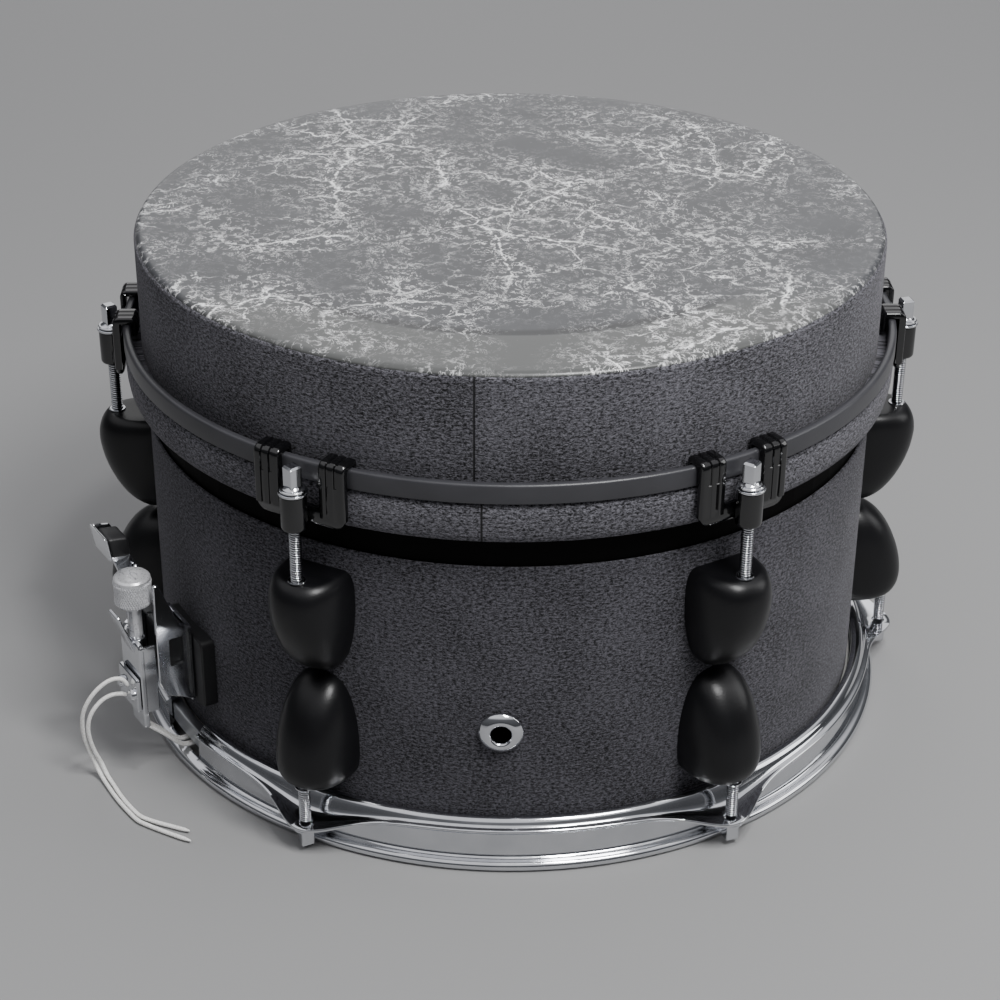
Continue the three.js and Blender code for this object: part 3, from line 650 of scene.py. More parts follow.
def lug_body(tip, up):
    """Half a drop on the felt, its blunt tip at one height and its mouth above or below it."""
    points = []
    front, back = 40, 6
    squared = lambda c: math.copysign(abs(c) ** 0.82, c)
    for depth, reach, rise in lug_curve[1:]:
        ring = []
        for k in range(front):
            turn = math.pi * (k / (front - 1) - 0.5) * 1.04
            ring.append((LUG_SEAT + depth * squared(math.cos(turn)), reach * squared(math.sin(turn))))
        for k in range(back):
            side = ring[front - 1][1] * (1 - 2 * (k + 1) / (back + 1))
            ring.append((LUG_SEAT - 2, side))
        for x, y in ring:
            seat = math.sqrt(LUG_SEAT**2 - y * y)
            points.append((max(x, seat) if x > LUG_SEAT - 1.9 else seat, y, tip + up * rise))
    return closed_rings(points, front + back)


UPPER_TIP, LOWER_TIP = 89.4, 87
LOWER_ROD = 195.6
for i in range(LUGS):
    upper = make(f"lug_above_{i + 1}", [lug_body(UPPER_TIP, 1)], lug_coat, 60 * i, 55)
    settle(upper, "drum", "black_satin", f"upper_lug_{i + 1}")
    lower = make(f"lug_below_{i + 1}", [lug_body(LOWER_TIP, -1)], lug_coat, 60 * i, 55)
    settle(lower, "drum", "black_satin", f"lower_lug_{i + 1}")

# ---- Tension rods and washers --------------------------------------------------------------------
# Steel screws with rolled threads, a round flange and a square head for the drum key, nickel and
# chrome plated. A pressed washer under each upper flange keeps the plating off the claw.
chrome, tree, surface = new_finish("polished_chrome_plate", Metallic=1.0, Roughness=0.08)
where = add(tree, "ShaderNodeTexCoord").outputs["Object"]
smears = add(tree, "ShaderNodeTexNoise", {"Vector": where, "Scale": 60.0, "Detail": 5.0})
coloured(tree, surface, smears, "#c9cbcf", "#e6e7ea")
haze = add(
    tree,
    "ShaderNodeMapRange",
    {"Value": smears, "From Min": 0.35, "From Max": 0.75, "To Min": 0.05, "To Max": 0.16},
)
tree.links.new(haze.outputs[0], surface.inputs["Roughness"])

# The shaft under the chrome thread ridges is dark metal: painted shade in the thread's grooves.
groove_shade_steel, tree, surface = new_finish("thread_groove_painted_shade", Metallic=1.0, Roughness=0.45)
where = add(tree, "ShaderNodeTexCoord").outputs["Object"]
groove_shade_mottle = add(tree, "ShaderNodeTexNoise", {"Vector": where, "Scale": 900.0, "Detail": 3.0})
coloured(tree, surface, groove_shade_mottle, "#1c1c1e", "#4a4b4e")


def node_tree(name, inputs):
    """A tree of geometry nodes with these named inputs, and the sockets that give them."""
    tree = bpy.data.node_groups.new(name, "GeometryNodeTree")
    for label, kind in inputs.items():
        tree.interface.new_socket(label, in_out="INPUT", socket_type=f"NodeSocket{kind}")
    tree.interface.new_socket("Geometry", in_out="OUTPUT", socket_type="NodeSocketGeometry")
    return tree, add(tree, "NodeGroupInput").outputs


def give_out(tree, geometry, material):
    """Makes the copies real, coats them and gives them out of the tree."""
    real = add(tree, "GeometryNodeRealizeInstances", {"Geometry": geometry})
    coated = add(tree, "GeometryNodeSetMaterial", {"Geometry": real, "Material": material})
    add(tree, "NodeGroupOutput", {"Geometry": coated})


thread_tree, given = node_tree(
    "Rolled thread",
    {"Radius": "Float", "Pitch": "Float", "Length": "Float", "Place": "Vector", "Material": "Material"},
)
turns = add(thread_tree, "ShaderNodeMath", {0: given["Length"], 1: given["Pitch"]}, operation="DIVIDE")
spiral = add(
    thread_tree,
    "GeometryNodeCurveSpiral",
    {
        "Resolution": 16,
        "Rotations": turns,
        "Start Radius": given["Radius"],
        "End Radius": given["Radius"],
        "Height": given["Length"],
    },
)
flank = add(thread_tree, "ShaderNodeMath", {0: given["Pitch"], 1: 0.33}, operation="MULTIPLY")
ridge = add(thread_tree, "GeometryNodeCurvePrimitiveCircle", {"Resolution": 4, "Radius": flank})
swept = add(
    thread_tree,
    "GeometryNodeCurveToMesh",
    {"Curve": spiral, "Profile Curve": ridge, "Fill Caps": True},
)
lifted = add(thread_tree, "GeometryNodeTransform", {"Geometry": swept, "Translation": given["Place"]})
give_out(thread_tree, lifted, given["Material"])


def grown(name, tree, **values):
    """The plain mesh object that a tree of geometry nodes makes from these inputs."""
    holder = bpy.data.objects.new(name, bpy.data.meshes.new(name))
    bpy.context.scene.collection.objects.link(holder)
    modifier = holder.modifiers.new("nodes", "NODES")
    modifier.node_group = tree
    for item in tree.interface.items_tree:
        if item.in_out == "INPUT" and item.name in values:
            modifier[item.identifier] = values[item.name]
    depsgraph = bpy.context.evaluated_depsgraph_get()
    mesh = bpy.data.meshes.new_from_object(holder.evaluated_get(depsgraph))
    holder.modifiers.clear()
    holder.data = mesh
    return holder


def joined(name, first, *others):
    """Several objects as one mesh."""
    build = bmesh.new()
    for made in (first, *others):
        build.from_mesh(made.data)
    coats = list(first.data.materials)
    first.data = bpy.data.meshes.new(name)
    build.to_mesh(first.data)
    build.free()
    for coat in coats:
        first.data.materials.append(coat)
    for made in others:
        bpy.data.objects.remove(made)
    return first


def rod(name, centre, degrees, end, seat, head, thread, square_turn):
    """A tension rod from its plain end to its flange's seat, with its head beyond the flange."""
    up = math.copysign(1, seat - end)
    rise = lambda r, z: (r, seat + up * z)
    shaft = [(0, end), (1.9, end), (2.3, end + up * 0.6), (2.3, seat + up * 0.4), (0, seat + up * 0.4)]
    flange = [rise(0, 0), rise(5.5, 0), rise(5.9, 0.3), rise(5.9, 0.9), rise(5.5, 1.25)]
    flange += [rise(4.8, 1.2), rise(4.1, 1.6), rise(3.4, 2.5), rise(0, 2.5)]
    parts = [turned(flange, 40, centre)]
    half = 3.05
    square = rounded([(-half, -half), (half, -half), (half, half), (-half, half)], 0.6, 3)
    spin = math.radians(square_turn)
    square = [
        (centre + x * math.cos(spin) - y * math.sin(spin), x * math.sin(spin) + y * math.cos(spin))
        for x, y in square
    ]
    low, high = sorted((seat + up * 1.2, seat + up * head))
    parts.append(prism(square, low, high, "z", 0.9))
    made = make(name, parts, chrome, degrees, 40)
    made.data.materials.append(groove_shade_steel)
    core = make(f"{name}_core", [turned(shaft, 32, centre)], groove_shade_steel, degrees, 40)
    for face in core.data.polygons:
        face.material_index = 1
    low, high = sorted(thread)
    place = radial(degrees) @ Vector((centre, 0, low))
    ridge = grown(
        f"{name}_thread",
        thread_tree,
        Radius=0.00245,
        Pitch=0.00115,
        Length=(high - low) / 1000,
        Place=tuple(place),
        Material=chrome,
    )
    return joined(name, made, core, ridge)


washer = rounded([(3.1, 185.3), (6.6, 185.3), (6.6, 186.4), (3.1, 186.4)], 0.4)
# How far round each square head came to rest, in degrees.
stops = (12, 80, 55, 31, 70, 24)
insert = [(2.95, 0), (4, 0), (4.1, 0.3), (3.9, 0.7), (3.4, 0.9), (2.95, 0.8)]
for i in range(LUGS):
    degrees = 60 * i
    upper = rod(f"tension_rod_above_{i + 1}", UPPER_ROD, degrees, 125.9, 186.7, 11.8, (134, 172), stops[i])
    settle(upper, f"top_rod_{i + 1}", "chrome", f"upper_rod_{i + 1}")
    lower = rod(f"tension_rod_below_{i + 1}", LOWER_ROD, degrees, 49.9, 12.6, 10.4, (16, 36), stops[-i])
    settle(lower, f"bottom_rod_{i + 1}", "chrome", f"lower_rod_{i + 1}")
    ring = make(f"washer_{i + 1}", [turned(washer, 48, UPPER_ROD)], chrome, degrees)
    settle(ring, "drum", "chrome", f"rod_washer_{i + 1}")
    mouths = [
        turned([(r, 142 + z) for r, z in insert], 40, UPPER_ROD),
        turned([(r, 34.4 - z) for r, z in insert], 40, LOWER_ROD),
    ]
    inserts = make(f"lug_inserts_{i + 1}", mouths, chrome, degrees)
    settle(inserts, "drum", "chrome")

# ---- Bottom hoop ---------------------------------------------------------------------------------
# Steel strip rolled and pressed in three flanges, chrome plated: a bead against the shell, a wall
# with a rolled foot, and a narrow flange drawn out into six ears that the lower rods pull on.
WALL_OUT, WALL_IN, RIM = 186.2, 184.6, 190.6
EAR_REACH, EAR_TOP, EAR_UNDER, EAR_SPREAD = 202, 14.5, 12.9, 20
plain_to_ear = [
    (WALL_OUT, 5.5, 0, 0), (WALL_OUT, 12, 0, -2.2), (WALL_OUT, 17.6, 0, EAR_UNDER - 17.9),
    (WALL_OUT + 0.25, 18.6, 2.2, EAR_UNDER - 18.5), (WALL_OUT + 0.9, 19.0, 8.4, EAR_UNDER - 19.0),
    (WALL_OUT + 1.3, 19.3, EAR_REACH - WALL_OUT - 1.5, EAR_UNDER - 19.2),
    (WALL_OUT + 1.6, 19.8, EAR_REACH - WALL_OUT - 1.6, EAR_UNDER - 19.1),
    (WALL_OUT + 1.55, 20.3, EAR_REACH - WALL_OUT - 1.6, EAR_TOP - 20.7),
    (WALL_OUT + 1.2, 20.7, EAR_REACH - WALL_OUT - 1.6, EAR_TOP - 20.7),
    (WALL_OUT + 0.6, 20.9, 8.6, EAR_TOP - 20.9), (WALL_OUT - 0.2, 21.1, 3.4, EAR_TOP - 20.8),
    (185.3, 21.4, 1.9, -5.4), (184.7, 22.1, 1.2, -3.6), (184.2, 23.1, 0.7, -1.8),
    (183.4, 24, 0.3, -0.7), (182.3, 24.6, 0, 0), (181, 24.6, 0, 0), (179.7, 24.1, 0, 0),
    (178.8, 23.1, 0, 0), (178.5, 22, 0, 0), (178.8, 20.9, 0, 0), (180, 20.4, 0, 0),
    (WALL_IN, 19.8, 0, 0), (WALL_IN, 9, 0, 0), (179.2, 9, 0, 0), (179.2, 7.4, 0, 0),
    (WALL_IN, 7.4, 0, 0), (WALL_IN, 1.4, 0, 0), (185.1, 0.5, 0, 0), (186, 0, 0, 0), (189, 0, 0, 0),
    (189.9, 0.35, 0, 0), (190.5, 1.1, 0, 0), (RIM + 0.1, 2.2, 0, 0), (190.4, 3.3, 0, 0),
    (189.6, 4.2, 0, 0), (188.4, 4.6, 0, 0), (187.2, 4.7, 0, 0),
]


def eared_ring(steps=720):
    """The plain profile round the drum, pulled out to the ear profile at each lug."""
    pitch = 2 * math.pi / LUGS
    points, faces = [], []
    count = len(plain_to_ear)
    for k in range(steps):
        angle = 2 * math.pi * k / steps
        from_ear = abs(angle - pitch * round(angle / pitch)) * 194
        ear = math.exp(-((from_ear / EAR_SPREAD) ** 1.9))
        for radius, height, outwards, upwards in plain_to_ear:
            r = radius + outwards * ear
            z = height + upwards * math.sqrt(ear)
            points.append((r * math.cos(angle), r * math.sin(angle), z))
    for k in range(steps):
        near, far = k * count, (k + 1) % steps * count
        for i in range(count):
            j = (i + 1) % count
            faces.append((near + i, far + i, far + j, near + j))
    return points, faces


bottom_hoop = make("bottom_hoop_ring", [eared_ring()], chrome, sharp=50)
ear_hole = [turned([(0, 9), (3.4, 9), (3.4, 18), (0, 18)], 40, LOWER_ROD)]
cut(bottom_hoop, ear_hole, [60 * i for i in range(LUGS)])
gate = rounded([(-17, 4.9, 2), (17, 4.9, 2), (17, 30), (-17, 30)])
cut(bottom_hoop, [prism(gate, 170, 210, "x", 0.01)], [THROW_OFF, THROW_OFF - 180])
bottom_hoop.data.set_sharp_from_angle(angle=math.radians(50))
settle(bottom_hoop, "drum", "chrome", "bottom_hoop")

# ---- Bottom head and its flesh hoop ---------------------------------------------------------------
# A thin hazy polyester film under the shell, crimped into an aluminium channel that the bottom hoop
# presses up. It is seen only from below.
haze_film, tree, surface = new_finish("hazy_polyester_film", Roughness=0.3)
where = add(tree, "ShaderNodeTexCoord").outputs["Object"]
cloud = add(tree, "ShaderNodeTexNoise", {"Vector": where, "Scale": 30.0, "Detail": 4.0})
coloured(tree, surface, cloud, "#b9bab8", "#dcdcd9")
glossed(tree, surface, cloud, 0.2, 0.42)
film_below = make(
    "bottom_film",
    [turned([(0, 12.7), (176, 12.7), (178, 12.7), (178.3, 13), (178, 13.4), (176, 13.4), (0, 13.4)])],
    haze_film,
)
settle(film_below, "drum", "clear_film", "bottom_head")

aluminium, tree, surface = new_finish("extruded_aluminium", Metallic=1.0, Roughness=0.35)
where = add(tree, "ShaderNodeTexCoord").outputs["Object"]
drawn = add(tree, "ShaderNodeMapping", {"Vector": where, "Scale": (1, 1, 25)})
lines = add(tree, "ShaderNodeTexNoise", {"Vector": drawn, "Scale": 90.0, "Detail": 4.0})
coloured(tree, surface, lines, "#9ea1a5", "#c4c6ca")
glossed(tree, surface, lines, 0.28, 0.45)
channel = rounded([(178.6, 9.5), (184.1, 9.5), (184.1, 18.9), (178.6, 18.9)], 1)
flesh_ring = make("bottom_flesh_ring", [turned(channel)], aluminium)
settle(flesh_ring, "drum", "steel", "bottom_flesh_hoop")

# ---- Vent eyelet ---------------------------------------------------------------------------------
# A brass eyelet spun over from outside and chrome plated, which lets the air out of the shell.
LIP = 177.3
eyelet = [
    (4.6, 166.5), (6, 166.5), (6, LIP), (10.2, LIP), (10.3, LIP + 0.6), (9.9, LIP + 1.3),
    (9, LIP + 2.1), (7.8, LIP + 2.9), (6.6, LIP + 3.4), (5.6, LIP + 3.4), (4.9, LIP + 2.9),
    (4.6, LIP + 2.1),
]
vent = make("vent", [lying(turned(eyelet, 64), 0, VENT_HEIGHT)], chrome, VENT, 50)
settle(vent, "drum", "chrome", "vent_eyelet")

# ---- Throw-off -----------------------------------------------------------------------------------
# A pressed and plated steel housing on a moulded black pad. Its lever, with a black grip, tips
# outwards and lets the slide drop, and the knurled knob sets how far the slide pulls the cords.
pad, tree, surface = new_finish("moulded_black_nylon", Roughness=0.5)
where = add(tree, "ShaderNodeTexCoord").outputs["Object"]
spark = add(tree, "ShaderNodeTexNoise", {"Vector": where, "Scale": 1400.0, "Detail": 2.0})
coloured(tree, surface, spark, "#0e0e0f", "#1b1b1d")
bumped(tree, surface, spark, 0.3, 0.0002)


def seated(outline, face, back=LUG_SEAT, edge=0.8):
    """A pad with its outline along the shell and up, flat outside and curved to the felt inside."""
    points, faces = prism(outline, 170, face, "x", edge)
    fitted = []
    for x, y, z in points:
        seat = math.sqrt(back**2 - y * y)
        fitted.append((max(x, seat), y, z))
    return fitted, faces


pad_outline = rounded([(-21, 36), (21, 36), (21, 73), (-21, 73)], 4, 5)
mount = make("throw_off_pad", [seated([(y, z) for y, z in pad_outline], 182.5)], pad, THROW_OFF)
settle(mount, "drum", "black_satin", "throw_off_mount")

HOUSING_BACK, HOUSING_FRONT, HOUSING_HALF = 182.8, 200.6, 12
cheek = rounded(
    [
        (HOUSING_BACK, 37), (190, 41), (197.5, 44), (HOUSING_FRONT, 52), (HOUSING_FRONT, 82),
        (200.2, 105), (197.8, 105), (188.6, 81), (HOUSING_BACK, 79),
    ],
    1.2,
    4,
)
back_plate = rounded([(-12, 37), (12, 37), (12, 79), (-12, 79)], 1, 3)
screw = [(0, 0), (3.2, 0), (3.2, 1), (2.6, 1.7), (1.2, 2), (0, 2)]
housing_parts = [
    prism(back_plate, HOUSING_BACK, HOUSING_BACK + 2, "x", 0.4),
    prism(cheek, -HOUSING_HALF, -HOUSING_HALF + 2, "y", 0.4),
    prism(cheek, HOUSING_HALF - 2, HOUSING_HALF, "y", 0.4),
    lying(turned(screw, 32), HOUSING_BACK + 2, 46),
    lying(turned(screw, 32), HOUSING_BACK + 2, 70),
]
housing = make("throw_off_channel", housing_parts, chrome, THROW_OFF, 40)
window = rounded([(187.4, 59.5), (194.6, 59.5), (194.6, 74.5), (187.4, 74.5)], 1.2, 3)
cut(housing, [prism(window, -13, 13, "y", 0.01)], [THROW_OFF])
settle(housing, "drum", "chrome", "throw_off_housing")
guide_outline = rounded([(185, 45), (196.5, 48), (196.5, 78), (185, 78)], 1, 3)
guide = make("slide_guide", [prism(guide_outline, -9.6, 9.6, "y", 0.4)], pad, THROW_OFF)
settle(guide, "drum", "black_satin")

PIVOT_X, PIVOT_Z = 197, 62
blade = rounded(
    [
        (PIVOT_X - 6, PIVOT_Z - 6, 5), (PIVOT_X + 6, PIVOT_Z - 6, 5),
        (PIVOT_X + 6.5, PIVOT_Z + 30, 6), (PIVOT_X + 13, PIVOT_Z + 50, 4),
        (PIVOT_X + 19.6, PIVOT_Z + 57, 1), (PIVOT_X + 21.4, PIVOT_Z + 69, 1.5),
        (PIVOT_X + 12, PIVOT_Z + 67, 2), (PIVOT_X + 5, PIVOT_Z + 52, 6),
        (PIVOT_X - 2, PIVOT_Z + 36, 6), (PIVOT_X - 6, PIVOT_Z + 10, 4),
    ],
    1,
    4,
)
shelf = rounded(
    [
        (PIVOT_X + 18.2, PIVOT_Z + 57.5), (PIVOT_X + 19.6, PIVOT_Z + 57),
        (PIVOT_X + 21.4, PIVOT_Z + 69), (PIVOT_X + 19.9, PIVOT_Z + 68.7),
    ],
    0.3,
)
rivet = turned([(0, -14.9), (4.2, -14.9), (4.2, -15.4), (3.2, -16.4), (0, -16.8)], 32)
rivet = ([(PIVOT_X + x, z, PIVOT_Z + y) for x, y, z in rivet[0]], rivet[1])
lever = make(
    "lever_blade",
    [prism(blade, -14.8, -12.8, "y", 0.4), prism(shelf, -14.4, 3, "y", 0.3), rivet],
    chrome,
    THROW_OFF,
    40,
)
settle(lever, "throw_lever", "chrome", "throw_off_lever")
grip_outline = rounded(
    [
        (PIVOT_X + 8.6, PIVOT_Z + 56.4), (PIVOT_X + 17.8, PIVOT_Z + 57.4),
        (PIVOT_X + 19.6, PIVOT_Z + 67.9), (PIVOT_X + 9.4, PIVOT_Z + 66.4),
    ],
    2,
    5,
)
grip = make("lever_pad", [prism(grip_outline, -11.6, 2, "y", 0.9)], pad, THROW_OFF, 50)
settle(grip, "throw_lever", "grip", "lever_grip")

SLIDE_FRONT, SLIDE_TOP = 209.4, 74
tongue = rounded(
    [
        (SLIDE_FRONT - 2, SLIDE_TOP - 6, 0), (SLIDE_FRONT + 0.2, SLIDE_TOP - 6, 0.4),
        (SLIDE_FRONT + 5, SLIDE_TOP + 8, 4), (SLIDE_FRONT + 7.4, SLIDE_TOP + 15, 0.5),
        (SLIDE_FRONT + 5.8, SLIDE_TOP + 15.4, 0.5), (SLIDE_FRONT + 3, SLIDE_TOP + 7, 4),
        (SLIDE_FRONT - 0.4, SLIDE_TOP - 1, 0),
    ],
    0.4,
    4,
)
face_outline = rounded([(-11, 36, 2), (11, 36, 1), (11, 74, 2.5), (-11, 74, 2.5)], 1, 4)
leg_outline = rounded([(-4, 28), (11, 28), (11, 38), (-4, 38)], 2.5, 4)
slide = make(
    "slide_plate",
    [
        prism(face_outline, SLIDE_FRONT - 3, SLIDE_FRONT, "x", 0.6),
        prism(leg_outline, SLIDE_FRONT - 3, SLIDE_FRONT - 0.2, "x", 0.5),
        prism(rounded([(-11, 37), (-9, 37), (-9, 73), (-11, 73)], 0.6), 201, 208, "x", 0.5),
        prism(rounded([(9, 37), (11, 37), (11, 73), (9, 73)], 0.6), 201, 208, "x", 0.5),
        turned(rounded([(2.7, 60), (4, 60), (4, 73.6), (2.7, 73.6)], 0.3), 32, 205.4),
        prism(tongue, -5, 5, "y", 0.5),
    ],
    chrome,
    THROW_OFF,
    40,
)
settle(slide, "throw_slide", "chrome", "slide_block")


def clamp_screws(seat):
    """The two screws of a clamp, their heads seated at this distance from the drum's axis."""
    head = [(0, 0), (2.9, 0), (2.9, 1.4), (2.3, 2.2), (0, 2.5)]
    points, faces = lying(turned(head, 28), seat, 47)
    return [([(x, y + side, z) for x, y, z in points], faces) for side in (-7, 7)]


clamp_outline = rounded([(-10.5, 38), (10.5, 38), (10.5, 56), (-10.5, 56)], 1.6, 4)
clamp_parts = [prism(clamp_outline, SLIDE_FRONT + 0.3, SLIDE_FRONT + 2.5, "x", 0.5)]
clamp_parts += clamp_screws(SLIDE_FRONT + 2.4)
clamp = make("cord_clamp_plate", clamp_parts, chrome, THROW_OFF, 40)
settle(clamp, "throw_slide", "chrome", "cord_clamp")

KNOB_X, KNOB_LOW, KNOB_HIGH = 205.6, 92.5, 107.2
knob_profile = [
    (0, 62), (2.4, 62), (2.4, 75), (3.2, 75.2), (3.2, 90.6), (5.2, 91.4), (8, KNOB_LOW),
    (8.3, KNOB_LOW + 0.7), (8.3, KNOB_HIGH - 3.2), (8.6, KNOB_HIGH - 2.6), (8.6, KNOB_HIGH - 1),
    (7.9, KNOB_HIGH - 0.2), (7.5, KNOB_HIGH), (2.6, KNOB_HIGH), (2.3, KNOB_HIGH - 0.7),
    (0, KNOB_HIGH - 0.7),
]
knob_metal, tree, surface = new_finish("turned_and_plated_knob", Metallic=0.5, Roughness=0.3)
where = add(tree, "ShaderNodeTexCoord").outputs["Object"]
marks = add(tree, "ShaderNodeTexNoise", {"Vector": where, "Scale": 700.0, "Detail": 3.0})
coloured(tree, surface, marks, "#c6c7ca", "#f0f0f2")
glossed(tree, surface, marks, 0.2, 0.4)
knob = make("knob_turned", [turned(knob_profile, 64, KNOB_X)], knob_metal, THROW_OFF, 40)
slot_groove = rounded([(-0.6, -5), (0.6, -5), (0.6, 5), (-0.6, 5)], 0.3, 2)
slot_groove = [(KNOB_X + x, y) for x, y in slot_groove]
cut(knob, [prism(slot_groove, KNOB_HIGH - 1.2, KNOB_HIGH + 1, "z", 0.01)], [THROW_OFF])

knurl_tree, given = node_tree(
    "Knurled band",
    {
        "Radius": "Float",
        "Height": "Float",
        "Teeth": "Int",
        "Lean": "Float",
        "Place": "Vector",
        "Material": "Material",
    },
)
round_line = add(
    knurl_tree,
    "GeometryNodeMeshCircle",
    {"Vertices": given["Teeth"], "Radius": given["Radius"]},
)
tooth = add(
    knurl_tree,
    "GeometryNodeMeshCylinder",
    {"Vertices": 4, "Radius": 0.00042, "Depth": given["Height"]},
)
spot = add(knurl_tree, "GeometryNodeInputPosition")
heading = add(
    knurl_tree, "FunctionNodeAlignRotationToVector", {"Vector": spot}, axis="X", pivot_axis="Z"
)
lean = add(knurl_tree, "ShaderNodeCombineXYZ", {"X": given["Lean"]})
leaning = add(knurl_tree, "FunctionNodeEulerToRotation", {"Euler": lean})
turned_teeth = add(
    knurl_tree,
    "GeometryNodeInstanceOnPoints",
    {"Points": round_line, "Instance": tooth.outputs["Mesh"], "Rotation": heading},
)
tipped = add(
    knurl_tree,
    "GeometryNodeRotateInstances",
    {"Instances": turned_teeth, "Rotation": leaning},
)
moved = add(knurl_tree, "GeometryNodeTransform", {"Geometry": tipped, "Translation": given["Place"]})
give_out(knurl_tree, moved, given["Material"])
knurls = [
    grown(
        f"knurl_{i}",
        knurl_tree,
        Radius=0.0083,
        Height=0.0118,
        Teeth=44,
        Lean=lean_angle,
        Place=tuple(radial(THROW_OFF) @ Vector((KNOB_X, 0, KNOB_LOW + 6.4))),
        Material=knob_metal,
    )
    for i, lean_angle in enumerate((0.45, -0.45))
]
knob = joined("knob_turned", knob, *knurls)
settle(knob, "knob", "chrome", "tension_knob")

# ---- Butt plate ----------------------------------------------------------------------------------
# The fixed anchor across the drum from the throw-off: a plated zinc casting with a bar and two
# screws that pinch the other ends of the cords.
butt_outline = rounded([(-15, 34), (15, 34), (15, 64), (-15, 64)], 4, 5)
butt_bar = rounded([(-11, 38), (11, 38), (11, 56), (-11, 56)], 1.6, 4)
butt_parts = [seated(butt_outline, 182.1), prism(butt_bar, 181.4, 184.6, "x", 0.5)]
butt_parts += clamp_screws(184.4)
butt = make("butt", butt_parts, chrome, THROW_OFF - 180, 40)
settle(butt, "drum", "chrome", "butt_plate")

# ---- Taut cords ----------------------------------------------------------------------------------
# The same braided cord, doubled: it runs from each clamp through the gate in the bottom hoop, under
# the flesh hoop, to the end plate of the snare wires.
UNDER = 7.2
taut = {
    "snare_cord_run": (THROW_OFF, "snare_cord", [(207, 27), (197, 17), (187, UNDER)]),
    "butt_cord_run": (THROW_OFF - 180, "butt_cord", [(185.7, 37), (185.9, 20), (185.6, UNDER + 1)]),
}
for name, (degrees, node, start) in taut.items():
    route = [*start, (178, UNDER), (170, UNDER + 1.8), (161.8, UNDER + 3.4)]
    cords = [
        round_cord(smooth_route([(x, side, z) for x, z in route], 6), 0.8, 12)
        for side in (-3.8, -2, 2, 3.8)
    ]
    made = make(name, cords, braid, degrees)
    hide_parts(node)
    if node == "snare_cord":
        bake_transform(made)
    else:
        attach(made, "drum")

# ---- Snare wires ---------------------------------------------------------------------------------
# Twenty coiled steel wires soldered between two plated end plates, stretched across the bottom head.
wire_tree, given = node_tree(
    "Coiled wires",
    {
        "Wires": "Int",
        "Spacing": "Float",
        "Length": "Float",
        "Coil Radius": "Float",
        "Coils": "Float",
        "Height": "Float",
        "Turn": "Float",
        "Material": "Material",
    },
)
coil = add(
    wire_tree,
    "GeometryNodeCurveSpiral",
    {
        "Resolution": 6,
        "Rotations": given["Coils"],
        "Start Radius": given["Coil Radius"],
        "End Radius": given["Coil Radius"],
        "Height": given["Length"],
    },
)
wire = add(wire_tree, "GeometryNodeCurvePrimitiveCircle", {"Resolution": 4, "Radius": 0.00018})
swept = add(
    wire_tree,
    "GeometryNodeCurveToMesh",
    {"Curve": coil, "Profile Curve": wire, "Fill Caps": True},
)
back_half = add(wire_tree, "ShaderNodeMath", {0: given["Length"], 1: -0.5}, operation="MULTIPLY")
shift = add(wire_tree, "ShaderNodeCombineXYZ", {"Z": back_half})
centred = add(wire_tree, "GeometryNodeTransform", {"Geometry": swept, "Translation": shift})
laid = add(wire_tree, "GeometryNodeTransform", {"Geometry": centred, "Rotation": (0, math.pi / 2, 0)})
step = add(wire_tree, "ShaderNodeCombineXYZ", {"Y": given["Spacing"]})
spare = add(wire_tree, "ShaderNodeMath", {0: given["Wires"], 1: -1.0}, operation="ADD")
span = add(wire_tree, "ShaderNodeMath", {0: spare, 1: given["Spacing"]}, operation="MULTIPLY")
first = add(wire_tree, "ShaderNodeMath", {0: span, 1: -0.5}, operation="MULTIPLY")
start = add(wire_tree, "ShaderNodeCombineXYZ", {"Y": first, "Z": given["Height"]})
row = add(
    wire_tree,
    "GeometryNodeMeshLine",
    {"Count": given["Wires"], "Start Location": start, "Offset": step},
)
placed = add(wire_tree, "GeometryNodeInstanceOnPoints", {"Points": row, "Instance": laid})
about_z = add(wire_tree, "ShaderNodeCombineXYZ", {"Z": given["Turn"]})
turned_row = add(wire_tree, "GeometryNodeTransform", {"Geometry": placed, "Rotation": about_z})
give_out(wire_tree, turned_row, given["Material"])
coils = grown(
    "coils",
    wire_tree,
    Wires=20,
    Spacing=0.0018,
    Length=0.297,
    **{"Coil Radius": 0.0007, "Coils": 110.0},
    Height=0.0106,
    Turn=math.radians(THROW_OFF - 180),
    Material=chrome,
)
end_outline = rounded([(-20, 9.6, 0.3), (20, 9.6, 0.3), (20, 11.5, 0.3), (-20, 11.5, 0.3)])
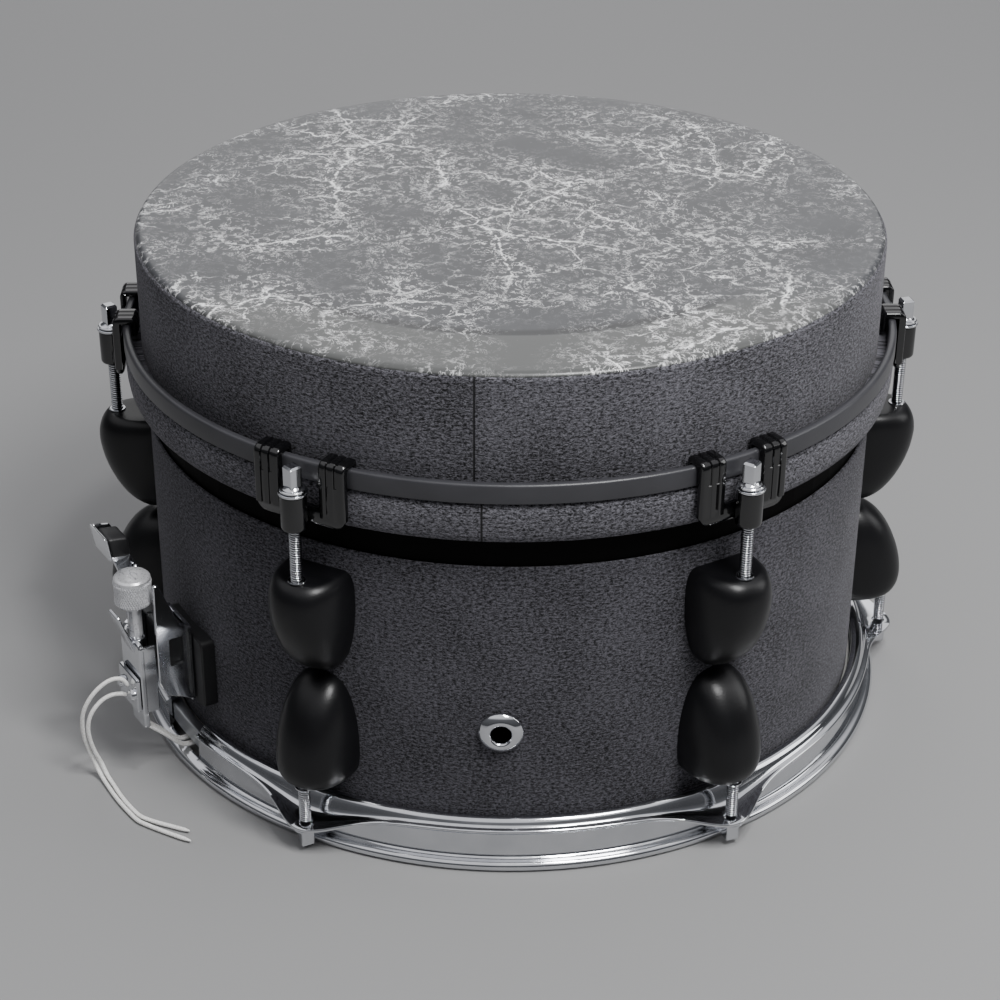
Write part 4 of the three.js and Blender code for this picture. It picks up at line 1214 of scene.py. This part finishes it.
ends = [prism(end_outline, 147, 161, "x", 0.4), prism(end_outline, -161, -147, "x", 0.4)]
wires = joined("snares", make("snares", ends, chrome, THROW_OFF - 180), coils)
settle(wires, "drum", "steel", "snare_wires")

# ---- Floor and light -----------------------------------------------------------------------------
# A plain pale floor. Two soft lamps hang overhead, one stands at the right and a wide one behind,
# and the sky is brightest overhead.
matt, tree, surface = new_finish("pale_matt_floor", Roughness=0.9)
surface.inputs["Base Color"].default_value = rgb("#8e8e8e")
FLOOR_REACH = 4000
corners = [(FLOOR_REACH * x, FLOOR_REACH * y, 0) for x, y in ((-1, -1), (1, -1), (1, 1), (-1, 1))]
floor = make("floor", [(corners, [(0, 1, 2, 3)])], matt)
floor.location.z = -0.0004


def lamp(name, place, size, power):
    """A square soft lamp that faces the drum."""
    data = bpy.data.lights.new(name, "AREA")
    data.size = size
    data.energy = power
    made = bpy.data.objects.new(name, data)
    bpy.context.scene.collection.objects.link(made)
    aim = Vector((0, 0, 0.12)) - Vector(place)
    made.matrix_world = Matrix.Translation(place) @ aim.to_track_quat("-Z", "Y").to_matrix().to_4x4()


lamp("overhead", (0.4, -0.7, 1.25), 0.4, 15)
lamp("top_strip", (0.25, -0.45, 1.5), 0.12, 6)
lamp("right_edge", (1.5, -0.1, 0.8), 0.8, 6)
lamp("back_fill", (0.1, 1.9, 1.1), 2.0, 11)
world = bpy.data.worlds.new("studio")
bpy.context.scene.world = world
world.use_nodes = True
sky = world.node_tree
direction = add(sky, "ShaderNodeTexCoord")
rise = add(sky, "ShaderNodeSeparateXYZ", {"Vector": direction.outputs["Generated"]})
tone = add(sky, "ShaderNodeValToRGB", {"Fac": rise.outputs[2]})
tone.color_ramp.elements[0].color = rgb("#4a4b4e")
tone.color_ramp.elements[1].color = rgb("#fbfbff")
tone.color_ramp.elements[1].position = 0.65
middle = tone.color_ramp.elements.new(0.5)
middle.color = rgb("#6c6d70")
sky.links.new(tone.outputs[0], sky.nodes["Background"].inputs["Color"])
sky.nodes["Background"].inputs["Strength"].default_value = 0.9
